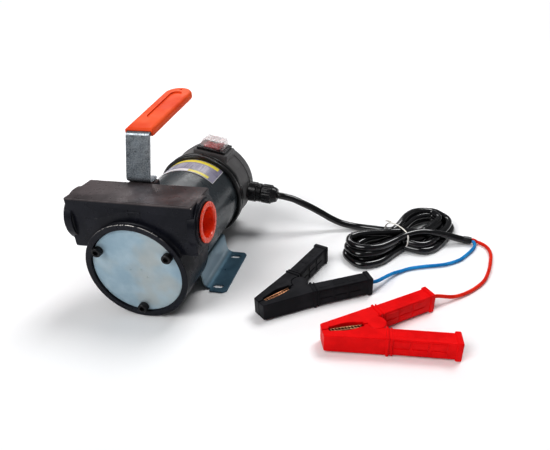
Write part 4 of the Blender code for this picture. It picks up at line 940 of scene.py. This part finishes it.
def coil_point(s):
    """A point on the coil, `s` radians along it from the far side of the tie."""
    turn = s / (2 * pi)
    whole = round(turn)
    away = (turn - whole) * 2 * pi
    share = ease((away + 0.45) / 0.9)
    one = COIL[max(0, whole - 1)]
    two = COIL[min(whole, len(COIL) - 1)]
    if abs(away) > 0.45:
        one = two = COIL[int(turn)]
    row = [a + (b - a) * share for a, b in zip(one, two)]
    waist, waist_z, near_inset, near_z, far_inset, far_z, left, left_z, lean = row
    side = 0.5 + 0.5 * cos(s)
    right = near_inset + (far_inset - near_inset) * side
    right_z = near_z + (far_z - near_z) * side
    along = sin(s)
    near = cos(s) < 0
    if along > 0:
        half, reach, height, lean = 36 - 1.22 * right, 93.5 - right, right_z, 9.0
        lobe = ease(along / 0.72)
        if near:
            half += 2 + 4 * exp(-((along - 0.32) / 0.18) ** 2)
            lobe = 1 - max(0.0, 1 - along / 0.2) ** 2
    else:
        half, reach, height = 30 - 1.05 * left, 76 - left, left_z
        lobe = ease(-along / 0.72)
    wide = waist + (half - waist) * lobe
    across = (-1 if near else 1) * abs(cos(s)) ** (1 - 0.45 * lobe) * wide
    height = waist_z + (height - waist_z) * lobe
    height += sin(2.3 * s + 0.7) * lobe * (1 if height > 9 else 0.0)
    return coil_place(WAIST[0] + along * reach, WAIST[1] + lean * along ** 2 + across, height)


def millimetres(route):
    return [Vector(point) * MM for point in route]


def build_lead():
    supply = [GLAND_EXIT] + millimetres((
        (104, 94, 49.4), (117, 95, 46), (128.3, 96, 40.6), (141.6, 98, 33.5), (155.4, 100, 25.0),
        (168.8, 102, 16.4), (183, 104.0, 9.6), (198, 105.6, 5.9), (212, 105.2, 5.0), (226, 103.0, 5.6),
        (238, 101.0, 6.0), (250, 102.5, 5.8)))
    coil = [coil_point(COIL_START + (COIL_END - COIL_START) * index / COIL_STEPS)
            for index in range(COIL_STEPS + 1)]
    tail = [coil_place(*point) for point in LAST_LOOP]
    end = Vector((0.344, 0.0918, 0.0058))
    line = smooth_line(supply + coil + tail + [end - Vector((0.0003, 0, 0))], 0.0035)
    lead = tube("supply_lead", line, CABLE_D, ("supply_cable", "cable_hank", "cable_tail"), 6)
    turn = radians(-5)
    ahead = Vector((cos(turn), sin(turn), 0))
    skin = [(0, SLEEVE_L), (0.003, SLEEVE_L), (0.0042, 0.01), (0.0046, 0.0085), (0.00485, 0.005),
            (0.00485, 0.0004), (0.0046, 0), (0, 0)]
    face = at(*end) @ spin(turn, "Z") @ FACE_X
    sleeve = show("lead_sleeve", into(lathe(skin, 48), face), ("cable_sleeve",))
    tie = build_tie()
    return end + ahead * SLEEVE_L, ahead


def build_tie():
    """A white wire tie: once round the waist of the coil, its ends twisted together."""
    loop = []
    steps = 72
    low, high = 1.3, 27.4
    for index in range(steps):
        turn = 2 * pi * index / steps
        across = 21.5 * cos(turn) if cos(turn) > 0 else -23.2 * abs(cos(turn)) ** 0.6
        height = low + (high - low) / 2 * (1 + (1 if sin(turn) > 0 else -1) * abs(sin(turn)) ** 0.8)
        loop.append(coil_place(WAIST[0] + 2.0 * sin(turn), WAIST[1] + across, height))
    band = bmesh.new()
    sides = 10
    rings = []
    for index, point in enumerate(loop):
        ahead = (loop[(index + 1) % steps] - loop[index - 1]).normalized()
        out = point - coil_place(*WAIST, 13.5)
        out = (out - ahead * out.dot(ahead)).normalized()
        side = ahead.cross(out)
        ring = []
        for step in range(sides):
            turn = 2 * pi * step / sides
            ring.append(band.verts.new(point + out * 0.0007 * cos(turn) + side * 0.0013 * sin(turn)))
        rings.append(ring)
    bridge(band, rings, True)
    knot = loop[10] + Vector((0, 0, 0.0015))
    parts = [band]
    for phase in (0, pi):
        twist = []
        for step in range(14):
            reach = 0.0006 * step
            turn = phase + 0.75 * step
            rise = 0.0007 * sin(turn) - 8.0 * reach * reach
            twist.append(knot + Vector((-0.75 * reach + 0.0007 * cos(turn), 0.45 * reach, rise)))
        parts.append(sweep(twist, 0.0007, 8))
    return show("coil_tie", gather(*parts), ("hank_tie",))


def sweep(points, radius, sides):
    """A round bar along a short line of points, closed at both ends."""
    bm = bmesh.new()
    rings = []
    for index, point in enumerate(points):
        ahead = (points[min(index + 1, len(points) - 1)] - points[max(index - 1, 0)]).normalized()
        side = ahead.cross(Vector((0.31, 0.2, 0.93))).normalized()
        up = side.cross(ahead)
        rings.append([bm.verts.new(point + side * x + up * y) for x, y in polygon(radius, sides)])
    bridge(bm, rings)
    return bm


# Each clamp's pin, the direction of its jaws and how far each handle spreads from the middle line
BLACK_CLAMP = (0.155, -0.0565, radians(229.6), radians(20.5))
RED_CLAMP = (0.2409, -0.1085, radians(200.5), radians(16.5))
CLAMP_Z = 0.0114
HANDLE_NEAR = 0.0065
HANDLE_WIDE = 0.0165


def clamp_place(clamp):
    return at(clamp[0], clamp[1], CLAMP_Z) @ spin(clamp[2], "Z")


def flipped(side):
    """The second side is the mirror image of the first across the jaws' middle line."""
    return Matrix.Diagonal((1, side, 1, 1))


def handle_at(clamp, reach, across):
    """Along and across the jaws from the pin, for a point `reach` along a handle and `across` it."""
    spread = clamp[3]
    across = across + HANDLE_NEAR
    return (-reach * cos(spread) + across * sin(spread), reach * sin(spread) + across * cos(spread))


def handle_point(clamp, side, reach):
    """A point in the middle of one handle, `reach` along it from the pin."""
    return clamp_place(clamp) @ flipped(side) @ Vector((*handle_at(clamp, reach, HANDLE_WIDE / 2), 0))


def build_wires(end, ahead, clamps):
    side = Vector((-ahead.y, ahead.x, 0))
    blue = [end - side * 0.0025 + ahead * 0.0003, end - side * 0.0027 + ahead * 0.003] + millimetres((
        (358, 84, 3.0), (355, 75.5, 2.5), (345, 59.3, 2.4), (336, 47.2, 2.4), (323.3, 37.2, 2.4),
        (311, 31, 2.4), (293, 25, 2.4), (275.5, 17.6, 2.4), (264, 9, 2.8), (254, -2, 5.5)))
    blue += [handle_point(BLACK_CLAMP, 1, reach * MM) for reach in (87, 78, 49, 20)]
    red = [end + side * 0.0025 + ahead * 0.0003, end + side * 0.0025 + ahead * 0.003] + millimetres((
        (362.5, 93.8, 2.9), (369, 89.2, 2.5), (373.8, 80.5, 2.4), (375, 66, 2.4), (372, 48, 2.4),
        (367, 28, 2.4), (359, 7, 2.4), (347, -10, 2.4), (333, -24, 2.8), (319, -35, 5.5)))
    red += [handle_point(RED_CLAMP, -1, reach * MM) for reach in (87, 78, 49, 20)]
    for tag, route, clamp in (("blue", blue, clamps[0]), ("red", red, clamps[1])):
        line = smooth_line(route, 0.0022)
        node = tag + "_wire"
        wire = tube(node + "_insulated", line, WIRE_D, (node,), 5)


# ---- clamps ----

def build_lever(tag, clamp, side, outer):
    """One lever of a clamp: wedge-shaped jaw cover, box handle with rims and raised pads, and ears."""
    place = clamp_place(clamp)
    flip = flipped(side)
    wide = HANDLE_WIDE
    scallop = [(0.054, 0.0004), (0.0475, 0.0004), (0.0468, 0.0028), (0.043, 0.0031), (0.0385, 0.004),
               (0.0335, 0.005), (0.028, 0.0052), (0.0228, 0.0046), (0.019, 0.0036), (0.016, 0.0029),
               (0.0136, 0.0028), (0.0128, 0.0005), (-0.001, 0.0005)]
    corners = ((0.003, 0.0003), (0.012, 0.0006), (0.012, wide - 0.0006), (0.0075, wide - 0.0004))
    points = scallop + [handle_at(clamp, *corner) for corner in corners]
    points += [(0.0528, 0.009), (0.0537, 0.0085), (0.054, 0.0076)]
    jaw = slab(points, -0.01, 0.01, 0.0008, 3)
    for vert in jaw.verts:
        if vert.co.x > 0.012:
            vert.co.z *= 1 - 0.06 * (vert.co.x - 0.012) / 0.042
    parts = [(jaw, flip)]
    on_handle = flip @ spin(-clamp[3], "Z") @ at(0, HANDLE_NEAR + wide / 2, 0)

    def add(size, bevel, reach, rise=0.0, steps=2):
        parts.append((block(size, bevel, steps, (-reach, 0, rise)), on_handle))

    add((0.066, wide - 0.0014, 0.0196), 0.0012, 0.0425, steps=3)
    add((0.006, wide + 0.0012, 0.022), 0.0014, 0.0744, steps=3)
    add((0.0026, wide + 0.001, 0.0218), 0.0006, 0.0095)
    add((0.0014, wide + 0.0002, 0.0206), 0.0004, 0.0136)
    for reach in (0.0225, 0.0395, 0.0565):
        add((0.012, 0.0064, 0.0204), 0.0004, reach)
        for row in (1, -1):
            add((0.014, wide + 0.0002, 0.0066), 0.0005, reach, row * 0.0043)
    add((0.003, 0.011, 0.016), 0.0008, 0.0765)
    shell = show(tag + "_cover", into(gather(*parts), place), (tag + "_shell",))
    clear = 0.0098
    if outer:
        carve(shell, tag + "_space", into(drum(clear, -0.0083, 0.0083, 48), place), True)
        low, high = 0.008, 0.0099
    else:
        carve(shell, tag + "_space", into(drum(clear, -0.0064, 0.0064, 48), place), True)
        for face in (1, -1):
            low, high = sorted((face * 0.008, face * 0.014))
            carve(shell, tag + "_relief", into(drum(clear, low, high, 48), place))
        low, high = 0.0062, 0.0077
    for face in (1, -1):
        disc = [(0, low), (0.0092, low), (0.0092, high - 0.0005), (0.0087, high), (0, high)]
        ear = into(lathe(disc, 64), place @ Matrix.Diagonal((1, 1, face, 1)))
        weld(shell, tag + "_ear", ear)


def build_jaw(tag, clamp, side):
    """A copper channel inside one jaw: a back plate and two flanges with teeth along their edges."""
    back = [(0.0142, 0.0019), (0.0462, 0.0019), (0.0462, 0.0026), (0.0142, 0.0026)]
    parts = [slab(back, -0.0074, 0.0074, 0.0002, 1)]
    pitch = 0.0032
    edge = [(0.0142, 0.0024)]
    for tooth in range(10):
        x = 0.0142 + pitch * tooth
        edge += [(x + 0.0002, 0.0016), (x + pitch * 0.55, 0.0003), (x + pitch * 0.8, 0.0006)]
    edge += [(0.0462, 0.0024)]
    for face in (1, -1):
        low, high = sorted((face * 0.0066, face * 0.0076))
        parts.append(slab(edge, low, high, 0.0001, 1))
    show(tag + "_pressed", into(gather(*parts), clamp_place(clamp) @ flipped(side)), (tag,))


def build_clamp(tag, clamp, fixed_side):
    """A whole clamp. It returns the pieces on the lever that its wire runs into."""
    build_lever(tag + "_clamp_fixed", clamp, fixed_side, True)
    build_lever(tag + "_clamp_moving", clamp, -fixed_side, False)
    build_jaw(tag + "_clamp_fixed_jaw", clamp, fixed_side)
    build_jaw(tag + "_clamp_moving_jaw", clamp, -fixed_side)
    rivet = into(drum(0.0025, -0.009, 0.009, 48, 0.0004), clamp_place(clamp))
    show(tag + "_clamp_rivet", rivet, (tag + "_clamp_pin",))
    names = [tag + "_clamp_fixed_cover", tag + "_clamp_fixed_jaw_pressed", tag + "_clamp_rivet"]
    return [bpy.data.objects[name] for name in names] + [frame["nodes"][tag + "_clamp_spring"]]


build_camera()
build_lights()
build_floor()
build_head()
build_cover()
build_plugs()
build_motor()
build_rear()
build_switch()
build_gland()
build_bracket()
build_handle()
SLEEVE_END, SLEEVE_AHEAD = build_lead()
CLAMPS = (build_clamp("black", BLACK_CLAMP, 1), build_clamp("red", RED_CLAMP, -1))
build_wires(SLEEVE_END, SLEEVE_AHEAD, CLAMPS)

for piece in LOOKS.objects:
    if piece.type == "MESH":
        weighted = piece.modifiers.new("even_normals", "WEIGHTED_NORMAL")
        weighted.keep_sharp = True

bpy.context.scene.view_settings.view_transform = "Standard"
bpy.context.scene.view_settings.gamma = 0.8
